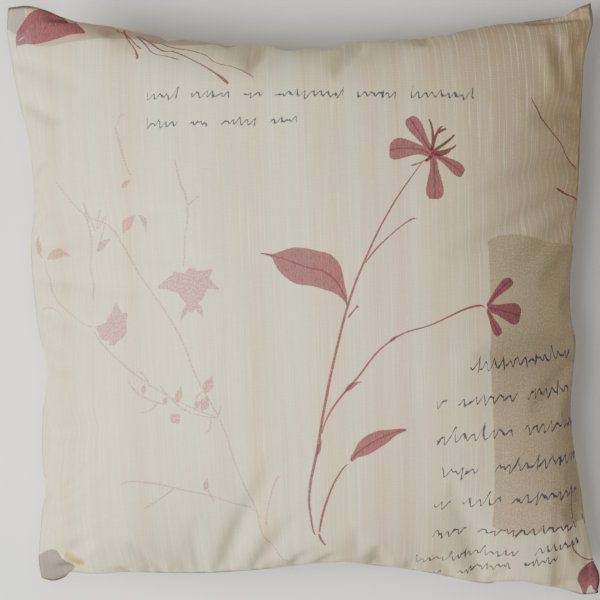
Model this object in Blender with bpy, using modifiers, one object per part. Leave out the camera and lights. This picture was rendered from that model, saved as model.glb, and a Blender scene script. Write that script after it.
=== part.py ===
"""A square throw pillow lying on its back: a sewn cover with a zip, round a stuffed insert.

Metres, +Z up. The origin is on the floor, under the middle of the cover's box. The front face
looks up and the zip is along the lower edge, at -Y.
"""

import math

import bmesh
import bpy
from mathutils import Matrix, Vector

NAME = "throw_pillow"

# The filled cover: its four corners and how far each edge is drawn in between them.
SIZE = 0.445
HALF = SIZE / 2
CORNERS = {
    "top_left": (-HALF, 0.219),
    "top_right": (0.217, HALF),
    "bottom_right": (HALF, -HALF),
    "bottom_left": (-0.197, -0.211),
}
DRAWN_IN = {"left": 0.011, "right": 0.019, "top": 0.037}
EDGE_ROUND = {"left": 0.7, "right": 0.85, "top": 1.0}
LIP_Y = -0.1995  # the straight middle of the zip edge
SEAM_Z = 0.057  # the plane of the cover's seam
CROWN_FRONT = 0.070  # rise of the front above the seam
CROWN_BACK = 0.068  # fall of the back below the seam, before the floor flattens it
CROWN_POWER = 2.5
FLOOR_BLEND = 0.006

# Cloth and seams
CLOTH = 0.0006  # the cover's cloth
CLOTH_AT_SEAM = 0.0014  # the same cloth, measured across a steep edge
GAP = 0.0003  # between pieces that touch
SEAM_HALF_GAP = GAP / 2
SEAM_ALLOWANCE = 0.010
OVERLOCK_RISE = 0.0008  # the thickening along a seam allowance's raw edge
OVERLOCK_WIDTH = 0.002
THREAD_R = 0.00025

# The zip
ZIP_X = (CORNERS["bottom_left"][0] + CORNERS["bottom_right"][0]) / 2
LIP_HALF_GAP = 0.0046  # half the slot between the folded edges
LIP_DEPTH = 0.0066  # from the folded edges in to the tapes
LIP_FOLD_TOP = 0.0110  # where the allowance folded along the tape ends, above the seam
LIP_BLEND = 0.28  # how far in from the zip edge the slot still lifts the panels
ZIP_ZONE = 0.83  # share of the zip edge that is folded round the zip
CHAIN_HALF = 0.155
TAPE_HALF = 0.162
TAPE_INNER, TAPE_OUTER = 0.0009, 0.0120
TAPE_THICK = 0.0005
COIL_R = 0.0010
COIL_SIDES = 12
COIL_OFFSET = 0.0016  # of each coil's middle from the seam plane
STOP_LENGTH = 0.0022
STOP_DEPTH = 0.0022  # out from the tapes
STOP_HALF_HEIGHT = 0.0029
STOP_ROUND = 0.0003
TAPE_Y = LIP_Y + LIP_DEPTH

SLIDER_LENGTH = 0.010
SLIDER_HALF_WIDTH = 0.0039
SLIDER_PLATE = 0.0010
SLIDER_WALL = 0.0009
WEB_HALF = 0.0003
STOP_CLEARANCE = 0.0005
SLIDER_X = ZIP_X + CHAIN_HALF - STOP_CLEARANCE - SLIDER_LENGTH / 2
BRIDGE_HALF_LENGTH = 0.0032
BRIDGE_HALF_WIDTH = 0.0007
BRIDGE_THICK = 0.0006
TAB_LENGTH = 0.0190
TAB_HALF_WIDTH = 0.0026
TAB_THICK = 0.0009
TAB_BAR = 0.0009  # the bar of the tab that turns under the bridge
TAB_WINDOW_LENGTH = 0.0042
TAB_WINDOW_HALF = 0.0012

# The insert
INSERT_IN = 0.0125  # from the cover's outline in to the insert's
INSERT_GAP = 0.0012  # between the cover and the insert
CASING = 0.0005
CASING_AT_SEAM = 0.0012
CASING_ALLOWANCE = 0.006
FILL_IN = 0.0200  # from the cover's outline in to the filling's
FILL_RIM = 0.0020
LABEL_SIZE = (0.0080, 0.0300, 0.0004)
LABEL_IN = 0.0030  # from the cover's outline in to the label
LABEL_V = -0.591  # where it is along the left edge, from -1 at the bottom to 1 at the top

PANEL_CELLS = 18
INSERT_CELLS = 14
SPACING_ANGLE = math.radians(81)  # crowds the grid lines towards the edges

COLOURS = {
    "cover_cloth": ((0.78, 0.74, 0.66), 0.9, 0.0),
    "sewing_thread": ((0.80, 0.77, 0.70), 0.8, 0.0),
    "zip_tape": ((0.74, 0.71, 0.64), 0.85, 0.0),
    "zip_coil": ((0.70, 0.68, 0.62), 0.45, 0.0),
    "zip_metal": ((0.62, 0.61, 0.58), 0.35, 1.0),
    "casing_cloth": ((0.90, 0.90, 0.88), 0.9, 0.0),
    "fibre_filling": ((0.94, 0.94, 0.93), 0.95, 0.0),
    "label_cloth": ((0.92, 0.92, 0.90), 0.7, 0.0),
}


def clear_scene():
    for obj in list(bpy.data.objects):
        bpy.data.objects.remove(obj, do_unlink=True)


def new_collection(name):
    collection = bpy.data.collections.new(name)
    bpy.context.scene.collection.children.link(collection)
    return collection


def material_for(node, look):
    colour, roughness, metallic = COLOURS[look]
    material = bpy.data.materials.new(node)
    material.use_nodes = True
    shader = material.node_tree.nodes["Principled BSDF"]
    shader.inputs["Base Color"].default_value = (*colour, 1.0)
    shader.inputs["Roughness"].default_value = roughness
    shader.inputs["Metallic"].default_value = metallic
    return material


def add_object(name, mesh, collection, look, location=(0, 0, 0)):
    obj = bpy.data.objects.new(name, mesh)
    obj.location = location
    collection.objects.link(obj)
    mesh.materials.append(material_for(name, look))
    return obj


def mesh_from(bm, name):
    bmesh.ops.recalc_face_normals(bm, faces=bm.faces)
    mesh = bpy.data.meshes.new(name)
    bm.to_mesh(mesh)
    bm.free()
    mesh.shade_smooth()
    mesh.set_sharp_from_angle(angle=math.radians(40))
    return mesh


# ---- the outline and the crown ------------------------------------------------------------

def mix(a, b, t):
    return a + (b - a) * t


def corner(name):
    return Vector(CORNERS[name])


def edge_bow(s, roundness):
    """From 0 at an edge's ends to 1 at its middle, for s from -1 to 1."""
    return roundness * (1 - s * s) + (1 - roundness) * (1 - s ** 8)


def side_edge(side, s):
    """A point on the left or the right edge, for s from -1 (bottom) to 1 (top)."""
    point = mix(corner("bottom_" + side), corner("top_" + side), (s + 1) / 2)
    inward = 1 if side == "left" else -1
    point.x += inward * DRAWN_IN[side] * edge_bow(s, EDGE_ROUND[side])
    return point


def top_edge(s):
    point = mix(corner("top_left"), corner("top_right"), (s + 1) / 2)
    point.y -= DRAWN_IN["top"] * edge_bow(s, EDGE_ROUND["top"])
    return point


def bottom_edge(s):
    point = mix(corner("bottom_left"), corner("bottom_right"), (s + 1) / 2)
    point.y = mix(point.y, LIP_Y, edge_bow(s, 0))
    return point


def outline(u, v):
    """The cover's flat plan: (u, v) from -1 to 1 spans it between its four edges."""
    a, b = (u + 1) / 2, (v + 1) / 2
    across = mix(bottom_edge(u), top_edge(u), b)
    along = mix(side_edge("left", v), side_edge("right", v), a)
    lower = mix(corner("bottom_left"), corner("bottom_right"), a)
    upper = mix(corner("top_left"), corner("top_right"), a)
    return across + along - mix(lower, upper, b)


def crown(u, v):
    """From 0 along the edges to 1 in the middle."""
    inside_u = max(0.0, 1 - abs(u) ** CROWN_POWER)
    inside_v = max(0.0, 1 - abs(v) ** CROWN_POWER)
    return math.sqrt(inside_u * inside_v)


def on_floor(z, level):
    """z kept above level, and flat exactly on it where the pillow rests."""
    over = z - level
    if over >= FLOOR_BLEND:
        return z
    if over <= -FLOOR_BLEND:
        return level
    return level + (over + FLOOR_BLEND) ** 2 / (4 * FLOOR_BLEND)


def shrink(inset):
    """The scale of (u, v) that moves the outline in by inset."""
    return 1 - inset / HALF


def spread(s):
    return math.sin(s * SPACING_ANGLE) / math.sin(SPACING_ANGLE)


def in_zip_zone(u, v):
    return v < -0.999 and abs(u) < ZIP_ZONE


def lip_rise(u, v):
    """Half the gap between the two panels: wide along the zip, closed elsewhere."""
    if abs(u) >= ZIP_ZONE:
        return SEAM_HALF_GAP
    fade = max(0.0, 1 - (v + 1) / LIP_BLEND)
    return mix(SEAM_HALF_GAP, LIP_HALF_GAP, fade)


# ---- sewn shells --------------------------------------------------------------------------

def add_grid(bm, cells, place):
    """A grid of cells x cells, each corner put where place(u, v) says, split towards the corners."""
    grid = bmesh.ops.create_grid(bm, x_segments=cells, y_segments=cells, size=1)["verts"]
    params = {vert: (spread(vert.co.x), spread(vert.co.y)) for vert in grid}
    faces = {face for vert in grid for face in vert.link_faces}
    for face in faces:
        far = max(face.verts, key=lambda vert: sum(abs(p) for p in params[vert]))
        opposite = face.verts[(list(face.verts).index(far) + 2) % 4]
        bmesh.utils.face_split(face, far, opposite)
    for vert, (u, v) in params.items():
        vert.co = place(u, v)
    ring = [vert for vert in grid if max(abs(p) for p in params[vert]) > 0.999]
    ring.sort(key=lambda vert: ring_angle(*params[vert]))
    return ring, [params[vert] for vert in ring]


def ring_angle(u, v):
    return math.atan2(v, u)


def loft(bm, ring, points):
    """A band of faces from a closed ring of vertices to new ones at points."""
    new = [bm.verts.new(point) for point in points]
    join_rings(bm, ring, new)
    return new


def join_rings(bm, a, b):
    for i in range(len(a)):
        j = (i + 1) % len(a)
        bm.faces.new((a[i], a[j], b[j], b[i]))


class Sheet:
    """One half of a cover or casing: side is 1 for the front, -1 for the back."""

    def __init__(self, side, inset, rise, thick, thick_at_seam, floor):
        self.side = side
        self.inset = inset
        self.rise = rise
        self.thick = thick
        self.thick_at_seam = thick_at_seam
        self.floor = floor

    def at(self, u, v, inset, height):
        flat = outline(u * shrink(self.inset + inset), v * shrink(self.inset + inset))
        return Vector((flat.x, flat.y, SEAM_Z + self.side * height))

    def slot(self, u, v):
        return lip_rise(u, v) if self.inset == 0 else SEAM_HALF_GAP

    def outer(self, u, v):
        point = self.at(u, v, 0, self.slot(u, v) + self.rise * crown(u, v))
        point.z = on_floor(point.z, self.floor)
        return point

    def inner(self, u, v):
        rise = (self.rise - 2 * self.thick) * crown(u, v)
        point = self.at(u, v, self.thick_at_seam, self.slot(u, v) + self.thick + rise)
        point.z = on_floor(point.z, self.floor + self.thick)
        return point

    def allowance(self, u, v, width, zip_y, rise, zip_rise):
        """A point of the seam allowance: plain edges by width and rise, the zip edge its own way."""
        if self.inset == 0 and in_zip_zone(u, v):
            point = self.at(u, v, 0, zip_rise)
            point.y = zip_y
            return point
        return self.at(u, v, width, SEAM_HALF_GAP + rise)


def sewn_half(name, sheet, cells, allowance):
    """A crowned sheet whose edge is turned in at the seam, as one closed solid."""
    bm = bmesh.new()
    outer_ring, params = add_grid(bm, cells, sheet.outer)
    inner_ring, _ = add_grid(bm, cells, sheet.inner)
    raised = sheet.thick + OVERLOCK_RISE
    zip_front = TAPE_Y - GAP
    zip_back = zip_front - sheet.thick
    steps = (
        (allowance, zip_front, 0, LIP_HALF_GAP),
        (allowance, zip_front, raised, LIP_FOLD_TOP),
        (allowance - OVERLOCK_WIDTH, zip_back, raised, LIP_FOLD_TOP),
        (allowance - OVERLOCK_WIDTH, zip_back, sheet.thick, LIP_HALF_GAP + sheet.thick),
    )
    ring = outer_ring
    for step in steps:
        ring = loft(bm, ring, [sheet.allowance(u, v, *step) for u, v in params])
    join_rings(bm, ring, inner_ring)
    return mesh_from(bm, name)


def cover_sheet(side):
    rise = CROWN_FRONT if side > 0 else CROWN_BACK
    return Sheet(side, 0, rise, CLOTH, CLOTH_AT_SEAM, 0.0)


def casing_sheet(side):
    cover = cover_sheet(side)
    rise = cover.rise - CLOTH - INSERT_GAP
    return Sheet(side, INSERT_IN, rise, CASING, CASING_AT_SEAM, CLOTH + INSERT_GAP)


def fill_sheet(side):
    casing = casing_sheet(side)
    rise = casing.rise - CASING - INSERT_GAP - FILL_RIM
    return Sheet(side, FILL_IN, rise, 0, 0, casing.floor + CASING + GAP)


def build_cover(parts):
    for name, side in (("front_panel", 1), ("back_panel", -1)):
        mesh = sewn_half(name, cover_sheet(side), PANEL_CELLS, SEAM_ALLOWANCE)
        add_object(name, mesh, parts, "cover_cloth")


def build_insert(parts):
    for name, side in (("insert_front_casing", 1), ("insert_back_casing", -1)):
        mesh = sewn_half(name, casing_sheet(side), INSERT_CELLS, CASING_ALLOWANCE)
        add_object(name, mesh, parts, "casing_cloth")


def build_fill(parts):
    bm = bmesh.new()
    rings = []
    for side in (1, -1):
        sheet = fill_sheet(side)

        def place(u, v, sheet=sheet):
            point = sheet.at(u, v, 0, FILL_RIM + sheet.rise * crown(u, v))
            point.z = on_floor(point.z, sheet.floor)
            return point

        rings.append(add_grid(bm, INSERT_CELLS, place)[0])
    join_rings(bm, *rings)
    add_object("insert_fill", mesh_from(bm, "insert_fill"), parts, "fibre_filling")


# ---- threads and labels -------------------------------------------------------------------

def thread(name, points, parts, closed=False):
    """A sewing thread along points, as a tube."""
    curve = bpy.data.curves.new(name, "CURVE")
    curve.dimensions = "3D"
    curve.bevel_depth = THREAD_R
    curve.bevel_resolution = 1
    curve.use_fill_caps = True
    spline = curve.splines.new("POLY")
    spline.points.add(len(points) - 1)
    for spot, point in zip(spline.points, points):
        spot.co = (*point, 1)
    spline.use_cyclic_u = closed
    obj = bpy.data.objects.new(name, curve)
    parts.objects.link(obj)
    curve.materials.append(material_for(name, "sewing_thread"))
    return obj


def edge_params(cells):
    """The (u, v) of the grid's edge, from the lower left corner up, across and down."""
    steps = [spread(-1 + 2 * i / cells) for i in range(cells + 1)]
    left = [(-1, s) for s in steps]
    top = [(s, 1) for s in steps[1:]]
    right = [(1, s) for s in reversed(steps[:-1])]
    bottom = [(s, -1) for s in reversed(steps[1:-1])]
    return left, top, right, bottom


def build_threads(parts):
    cover = cover_sheet(1)
    left, top, right, bottom = edge_params(PANEL_CELLS)
    route = [uv for uv in bottom if uv[0] < -ZIP_ZONE] + left + top + right
    route += [uv for uv in bottom if uv[0] > ZIP_ZONE]
    height = SEAM_HALF_GAP + CLOTH + GAP + THREAD_R
    along = [cover.at(u, v, SEAM_ALLOWANCE / 2, height) for u, v in route]
    thread("cover_seam_thread", along, parts)

    casing = casing_sheet(1)
    route = [uv for edge in edge_params(INSERT_CELLS) for uv in edge]
    height = SEAM_HALF_GAP + CASING + GAP + THREAD_R
    ring = [casing.at(u, v, CASING_ALLOWANCE / 2, height) for u, v in route]
    thread("insert_seam_thread", ring, parts, closed=True)

    behind = TAPE_Y + TAPE_THICK + GAP + THREAD_R
    for name, side in (("zip_thread_front", 1), ("zip_thread_back", -1)):
        level = SEAM_Z + side * (LIP_FOLD_TOP - SEAM_ALLOWANCE / 3)
        ends = [(ZIP_X + end * TAPE_HALF, behind, level) for end in (-1, 1)]
        thread(name, ends, parts)


def build_label(parts):
    bm = bmesh.new()
    bmesh.ops.create_cube(bm, size=1, matrix=Matrix.Diagonal((*LABEL_SIZE, 1)))
    edge = outline(-1, LABEL_V)
    above = SEAM_HALF_GAP + CLOTH + OVERLOCK_RISE + GAP + LABEL_SIZE[2] / 2
    place = (edge.x + LABEL_IN + LABEL_SIZE[0] / 2, edge.y, SEAM_Z + above)
    add_object("care_label", mesh_from(bm, "care_label"), parts, "label_cloth", place)


# ---- the zip ------------------------------------------------------------------------------

def add_box(name, low, high, parts, look):
    size = Vector(high) - Vector(low)
    middle = (Vector(high) + Vector(low)) / 2
    bm = bmesh.new()
    bmesh.ops.create_cube(bm, size=1, matrix=Matrix.Diagonal((*size, 1)))
    return add_object(name, mesh_from(bm, name), parts, look, middle)


def soften(obj, width):
    bevel = obj.modifiers.new("rounded_edges", "BEVEL")
    bevel.width = width
    bevel.segments = 2
    bevel.limit_method = "ANGLE"


def build_tapes_and_coils(parts):
    for half, side in (("front", 1), ("back", -1)):
        levels = sorted(SEAM_Z + side * d for d in (TAPE_INNER, TAPE_OUTER))
        add_box(
            "zip_tape_" + half,
            (ZIP_X - TAPE_HALF, TAPE_Y, levels[0]),
            (ZIP_X + TAPE_HALF, TAPE_Y + TAPE_THICK, levels[1]),
            parts,
            "zip_tape",
        )
        bm = bmesh.new()
        bmesh.ops.create_cone(
            bm, cap_ends=True, segments=COIL_SIDES, radius1=COIL_R, radius2=COIL_R,
            depth=2 * CHAIN_HALF, matrix=Matrix.Rotation(math.radians(90), 4, "Y"),
        )
        name = "zip_coil_" + half
        place = (ZIP_X, TAPE_Y - GAP - COIL_R, SEAM_Z + side * COIL_OFFSET)
        add_object(name, mesh_from(bm, name), parts, "zip_coil", place)


def build_stops(parts):
    front, back = TAPE_Y - GAP - STOP_DEPTH, TAPE_Y - GAP
    near, far = COIL_OFFSET - COIL_R, STOP_HALF_HEIGHT
    start = ZIP_X + CHAIN_HALF + GAP
    for half, side in (("front", 1), ("back", -1)):
        levels = sorted(SEAM_Z + side * d for d in (near, far))
        stop = add_box(
            "zip_top_stop_" + half,
            (start, front, levels[0]),
            (start + STOP_LENGTH, back, levels[1]),
            parts,
            "zip_metal",
        )
        soften(stop, STOP_ROUND)
    end = ZIP_X - CHAIN_HALF - GAP
    stop = add_box(
        "zip_bottom_stop",
        (end - STOP_LENGTH, front, SEAM_Z - far),
        (end, back, SEAM_Z + far),
        parts,
        "zip_metal",
    )
    soften(stop, STOP_ROUND)


def flat_curve(name, outlines, half_thick):
    """A flat plate with the given closed outlines, the later ones holes in the first."""
    curve = bpy.data.curves.new(name, "CURVE")
    curve.dimensions = "2D"
    curve.fill_mode = "BOTH"
    curve.extrude = half_thick
    for points in outlines:
        spline = curve.splines.new("POLY")
        spline.points.add(len(points) - 1)
        for spot, (x, y) in zip(spline.points, points):
            spot.co = (x, y, 0, 1)
        spline.use_cyclic_u = True
    return bpy.data.objects.new(name, curve)


def as_mesh(obj, parts, name):
    """The curve object's own closed mesh, with its caps welded on."""
    parts.objects.link(obj)
    graph = bpy.context.evaluated_depsgraph_get()
    mesh = bpy.data.meshes.new_from_object(obj.evaluated_get(graph))
    bm = bmesh.new()
    bm.from_mesh(mesh)
    bmesh.ops.remove_doubles(bm, verts=bm.verts, dist=1e-6)
    bpy.data.objects.remove(obj, do_unlink=True)
    return mesh_from(bm, name)


def slider_section():
    """Half of the slider's section across the zip, (out from the tapes, up from the seam)."""
    coil_front = GAP + 2 * COIL_R + GAP
    outer = coil_front + SLIDER_PLATE
    tape_back = -(TAPE_THICK + GAP)
    inner = tape_back - SLIDER_PLATE
    wall_in = SLIDER_HALF_WIDTH - SLIDER_WALL
    return [
        (outer, 0),
        (outer, SLIDER_HALF_WIDTH - SLIDER_PLATE / 2),
        (outer - SLIDER_PLATE / 2, SLIDER_HALF_WIDTH),
        (2 * GAP, SLIDER_HALF_WIDTH),
        (2 * GAP, wall_in),
        (coil_front, wall_in),
        (coil_front, WEB_HALF),
        (tape_back, WEB_HALF),
        (tape_back, wall_in),
        (inner + SLIDER_PLATE / 2, SLIDER_HALF_WIDTH - SLIDER_PLATE / 2),
        (inner, wall_in),
        (inner, 0),
    ]


def slider_face():
    """The slider's outer face, measured out from the tapes."""
    return slider_section()[0][0]


def build_slider(parts, cutters):
    half = slider_section()
    mirrored = [(out, -up) for out, up in reversed(half[1:-1])]
    section = [(-out, up) for out, up in half + mirrored]
    body = as_mesh(flat_curve("body", [section], SLIDER_LENGTH / 2), parts, "zip_slider")
    # the section's plane, drawn in X and Y, is turned to stand across the zip
    body.transform(Matrix(((0, 0, 1, 0), (1, 0, 0, 0), (0, 1, 0, 0), (0, 0, 0, 1))))
    place = (SLIDER_X, TAPE_Y, SEAM_Z)
    slider = add_object("zip_slider", body, parts, "zip_metal", place)

    clear = GAP + TAB_BAR + GAP
    face = slider_face()
    foot = SLIDER_PLATE / 2
    x_out, x_in = BRIDGE_HALF_LENGTH, BRIDGE_HALF_LENGTH - BRIDGE_THICK
    shoulder = BRIDGE_THICK
    arch = [
        (-x_out, foot - face), (-x_out, shoulder - face - clear - BRIDGE_THICK),
        (-x_in, -face - clear - BRIDGE_THICK), (x_in, -face - clear - BRIDGE_THICK),
        (x_out, shoulder - face - clear - BRIDGE_THICK), (x_out, foot - face),
        (x_in, foot - face), (x_in, -face - clear), (-x_in, -face - clear),
        (-x_in, foot - face),
    ]
    mesh = as_mesh(flat_curve("arch", [arch], BRIDGE_HALF_WIDTH), cutters, "zip_slider_bridge")
    bridge = bpy.data.objects.new("zip_slider_bridge", mesh)
    bridge.location = place
    cutters.objects.link(bridge)
    bridge.hide_render = True
    bridge.display_type = "WIRE"
    union = slider.modifiers.new("bridge", "BOOLEAN")
    union.operation = "UNION"
    union.object = bridge
    return slider


def rounded_end(x_far, half_width, steps=6):
    """Points round the far end of the tab, from its upper side to its lower one."""
    middle = x_far + half_width
    turn = [math.pi / 2 + math.pi * i / steps for i in range(steps + 1)]
    return [(middle + half_width * math.cos(a), half_width * math.sin(a)) for a in turn]


def build_tab(parts, slider):
    """The pull tab lies over the slider towards -X, and turns on its bar, along Z."""
    start = TAB_BAR / 2
    rim = [(start, -TAB_HALF_WIDTH), (start, TAB_HALF_WIDTH)]
    rim += rounded_end(start - TAB_LENGTH, TAB_HALF_WIDTH)
    near, far = -TAB_BAR / 2, -TAB_BAR / 2 - TAB_WINDOW_LENGTH
    window = [
        (near, -TAB_WINDOW_HALF), (near, TAB_WINDOW_HALF),
        (far, TAB_WINDOW_HALF), (far, -TAB_WINDOW_HALF),
    ]
    plate = flat_curve("tab", [rim, window], TAB_THICK / 2)
    mesh = as_mesh(plate, parts, "zip_pull_tab")
    mesh.transform(Matrix.Rotation(math.radians(90), 4, "X"))
    axis_y = TAPE_Y - slider_face() - GAP - TAB_BAR / 2
    add_object("zip_pull_tab", mesh, parts, "zip_metal", (SLIDER_X, axis_y, SEAM_Z))


def main():
    clear_scene()
    parts = new_collection(NAME)
    cutters = new_collection("cutters")
    build_cover(parts)
    build_insert(parts)
    build_fill(parts)
    build_threads(parts)
    build_label(parts)
    build_tapes_and_coils(parts)
    build_stops(parts)
    slider = build_slider(parts, cutters)
    build_tab(parts, slider)


main()
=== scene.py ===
"""A throw pillow in a printed linen-look cover, with its insert and its zip.

Metres, +Z up, in the frame of its CAD model: the pillow lies on its back, its printed face
looks up and the zip is in the edge at -Y.
"""

import math

import bpy
import numpy as np
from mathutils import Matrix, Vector


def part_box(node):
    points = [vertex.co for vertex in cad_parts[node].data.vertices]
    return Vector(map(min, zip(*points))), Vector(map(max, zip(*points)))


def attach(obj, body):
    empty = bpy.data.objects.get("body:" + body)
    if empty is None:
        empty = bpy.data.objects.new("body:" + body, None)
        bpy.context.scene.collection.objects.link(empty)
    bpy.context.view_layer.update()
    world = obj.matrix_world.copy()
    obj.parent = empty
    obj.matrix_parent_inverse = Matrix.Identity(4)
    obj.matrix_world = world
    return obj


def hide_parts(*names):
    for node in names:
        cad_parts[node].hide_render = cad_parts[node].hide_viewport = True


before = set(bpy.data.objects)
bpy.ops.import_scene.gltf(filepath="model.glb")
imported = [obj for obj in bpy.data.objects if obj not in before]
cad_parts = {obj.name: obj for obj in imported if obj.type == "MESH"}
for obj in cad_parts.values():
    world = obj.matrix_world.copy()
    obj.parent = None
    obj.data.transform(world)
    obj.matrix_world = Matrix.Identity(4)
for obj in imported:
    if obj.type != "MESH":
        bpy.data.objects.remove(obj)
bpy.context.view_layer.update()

MM = 1000  # millimetres in a metre

# The cover as it was cut and as it lies
FLAT = 0.451  # each panel between its seams, before it was filled
HALF = FLAT / 2
SEAM_Z = (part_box("front_panel")[0].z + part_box("back_panel")[1].z) / 2
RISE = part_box("front_panel")[1].z - SEAM_Z  # of the front above the seam
FALL = 0.068  # of the back below it, before the floor flattens it
FLOOR_BLEND = 0.006  # how softly the floor flattens it
CLOTH = 0.0006  # how thick it is
SEAM_HALF_GAP = 0.00015
ALLOWANCE = 0.009  # turned in along each seam

# The zip edge
ZIP_LOW, ZIP_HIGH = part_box("zip_tape_front")
ZIP_X = (ZIP_LOW.x + ZIP_HIGH.x) / 2
TAPE_Y = ZIP_LOW.y
LIP_HALF_GAP = 0.0046  # half the slot between the folded edges
LIP_FOLD_TOP = 0.0110  # where the cloth folded along the tape ends, above the seam
LIP_OPEN = 0.168  # the slot has its full width this far from its middle
LIP_CLOSED = 0.178
LIP_FADE = 0.055  # how far in from the zip edge the slot still lifts the panels
WAVE_FADE = 0.020  # how far above the seam its wander still carries the panels

# The cloth simulation
CELLS = 88  # each way
START_BULGE = 0.004
EASE = 1.04  # the flat panel is this much larger than the filled cover, corner to corner
DRAW_FRAMES = 12
SIM_FRAMES = 26
CLOTH_SETTINGS = {
    "quality": 8,
    "mass": 0.25,
    "tension_stiffness": 60,
    "compression_stiffness": 10,
    "shear_stiffness": 5,
    "bending_stiffness": 10,
    "air_damping": 2,
    "use_pressure": True,
    "uniform_pressure_force": 30,
    "vertex_group_mass": "seam",
}
WRINKLES_AT_RIM = 1.0  # how much of the simulated folds is kept
WRINKLES_INSIDE = 0.6
RIM_REACH = 0.45  # how far in, as a share of the way to the middle, the rim counts
CALM_ROUNDS = 40
GAP = 0.0003  # between pieces that touch
LEAST_RISE = 0.0019  # of a panel just inside its seam, for the allowance under it
LEAST_RISE_IN = 0.004  # it has risen that much this far in
FOLD_RIM = 0.006  # creases fade out where a panel is lower than this above its seam
RIDGE = 0.5  # a crease's ridge, as a share of its depth
RIDGE_AT = 1.7  # and how many of its half widths the ridge lies beside it

# The pieces inside
INSIDE_CELLS = 64  # each way
INSIDE_ROUND = 0.030  # the insert's seam edge rounds over this far in
INSERT_IN = 0.0125  # from the cover's outline in to the insert's
BEHIND_ZIP = TAPE_Y + 0.0030  # the insert stays behind this level along the slot
BEHIND_FADE = 0.020  # the level drops away past the slot's ends,
BEHIND_DROP = 0.030  # this far
CASING = 0.0005  # how thick its cloth is
CASING_ALLOWANCE = 0.006
CASING_BELOW = 0.0020  # from the cover's surface down to the casing's
FILL_IN = 0.0205
FILL_BELOW = 0.0062
FILL_PLUMP = 0.0012  # how far the filling stands out between its lumps
FILL_LUMPS = 0.0008
THREAD_R = 0.00025
THREAD_WAVE = 0.00006  # how far the thread swings to each side in every stitch
THREAD_RISE = SEAM_HALF_GAP + CLOTH + GAP + THREAD_R
STITCH = 0.0030
LABEL_AT = (0.165, 0.235)  # along the left edge, from the bottom
LABEL_RISE = SEAM_HALF_GAP + CLOTH + GAP
LABEL_THICK = 0.0004
LABEL_IN = 0.003  # its sewn edge, from the seam
LABEL_CURL = 0.0012
TAPE_EXTRA = 0.008  # of each tape past both ends of its CAD node
TAPE_SPARE = 0.0022  # between the zip tapes' edges and the cover
COIL_PITCH = 0.00145
COIL_STEPS = 14  # points to a turn
COIL_OVERLAP = 0.00015  # how far each row of teeth reaches past the middle
WIRE_R = 0.00030
TUBE_SIDES = 6
SEAM_CELLS = 176  # along each edge, for the cover's seam
INSERT_SEAM_CELLS = 96
TAPE_CELLS = 120
LABEL_CELLS = 12

# How far each edge is drawn in from the straight line between its corners, as (share of the
# way along, millimetres): left and right from the top down, top and bottom from the left
DRAWN_IN = {
    "left": (
        (0.00, 2.0), (0.04, 0.5), (0.09, 2.5), (0.17, 7.0), (0.25, 12.5), (0.33, 13.5),
        (0.43, 8.5), (0.52, 9.5), (0.59, 12.0), (0.625, 18.5), (0.66, 15.0), (0.71, 10.5),
        (0.78, 8.0), (0.82, 8.5), (0.845, 11.5), (0.87, 6.5), (0.93, 2.5), (0.97, 0.5),
        (1.00, 2.0),
    ),
    "right": (
        (0.00, 2.0), (0.03, 0.5), (0.06, 3.5), (0.10, 8.0), (0.20, 10.5), (0.31, 13.5),
        (0.41, 17.5), (0.48, 20.5), (0.52, 20.5), (0.58, 16.5), (0.64, 20.0), (0.70, 21.5),
        (0.76, 18.5), (0.82, 14.5), (0.89, 11.0), (0.94, 6.0), (0.975, 1.0), (1.00, 2.5),
    ),
    "top": (
        (0.00, 2.0), (0.03, 0.5), (0.07, 4.5), (0.11, 14.5), (0.145, 18.5), (0.19, 18.0),
        (0.24, 24.0), (0.32, 29.0), (0.40, 34.0), (0.50, 39.5), (0.535, 39.0), (0.58, 36.0),
        (0.66, 30.0), (0.74, 27.0), (0.82, 23.5), (0.90, 20.0), (0.945, 15.0), (0.975, 6.0),
        (1.00, 2.0),
    ),
    "bottom": (
        (0.00, 2.0), (0.02, 0.0), (0.045, 4.0), (0.065, 11.5), (0.14, 9.0), (0.27, 9.5),
        (0.38, 13.0), (0.49, 19.5), (0.54, 21.5), (0.59, 19.5), (0.65, 17.5), (0.73, 12.5),
        (0.80, 8.0), (0.84, 12.0), (0.89, 8.5), (0.94, 4.5), (0.975, 1.0), (1.00, 2.5),
    ),
}


# ---- the outline --------------------------------------------------------------------------

def mix(a, b, t):
    return a + (b - a) * t


def cad_corners():
    """The cover's four corners, as the CAD front panel has them."""
    points = np.array([vert.co[:2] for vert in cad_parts["front_panel"].data.vertices])
    ways = {
        "bottom_left": (-1, -1), "bottom_right": (1, -1),
        "top_left": (-1, 1), "top_right": (1, 1),
    }
    return {name: points[np.argmax(points @ np.array(way))] for name, way in ways.items()}


CORNERS = cad_corners()


def smooth_through(points, x):
    """A smooth curve through points (x, y), read at x, without overshoot."""
    px, py = (np.array(column) for column in zip(*points))
    step = np.diff(px)
    slope = np.diff(py) / step
    tangent = np.zeros(len(px))
    inner = (slope[:-1] * slope[1:]) > 0
    tangent[1:-1] = np.where(
        inner, 2 * slope[:-1] * slope[1:] / np.where(inner, slope[:-1] + slope[1:], 1), 0
    )
    tangent[0], tangent[-1] = slope[0], slope[-1]
    k = np.clip(np.searchsorted(px, x, side="right") - 1, 0, len(step) - 1)
    t = (x - px[k]) / step[k]
    h = step[k]
    return (
        (2 * t**3 - 3 * t**2 + 1) * py[k] + (t**3 - 2 * t**2 + t) * h * tangent[k]
        + (-2 * t**3 + 3 * t**2) * py[k + 1] + (t**3 - t**2) * h * tangent[k + 1]
    )


EDGE_ENDS = {
    "left": ("top_left", "bottom_left", (1, 0)),
    "right": ("top_right", "bottom_right", (-1, 0)),
    "top": ("top_left", "top_right", (0, -1)),
    "bottom": ("bottom_left", "bottom_right", (0, 1)),
}


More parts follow.
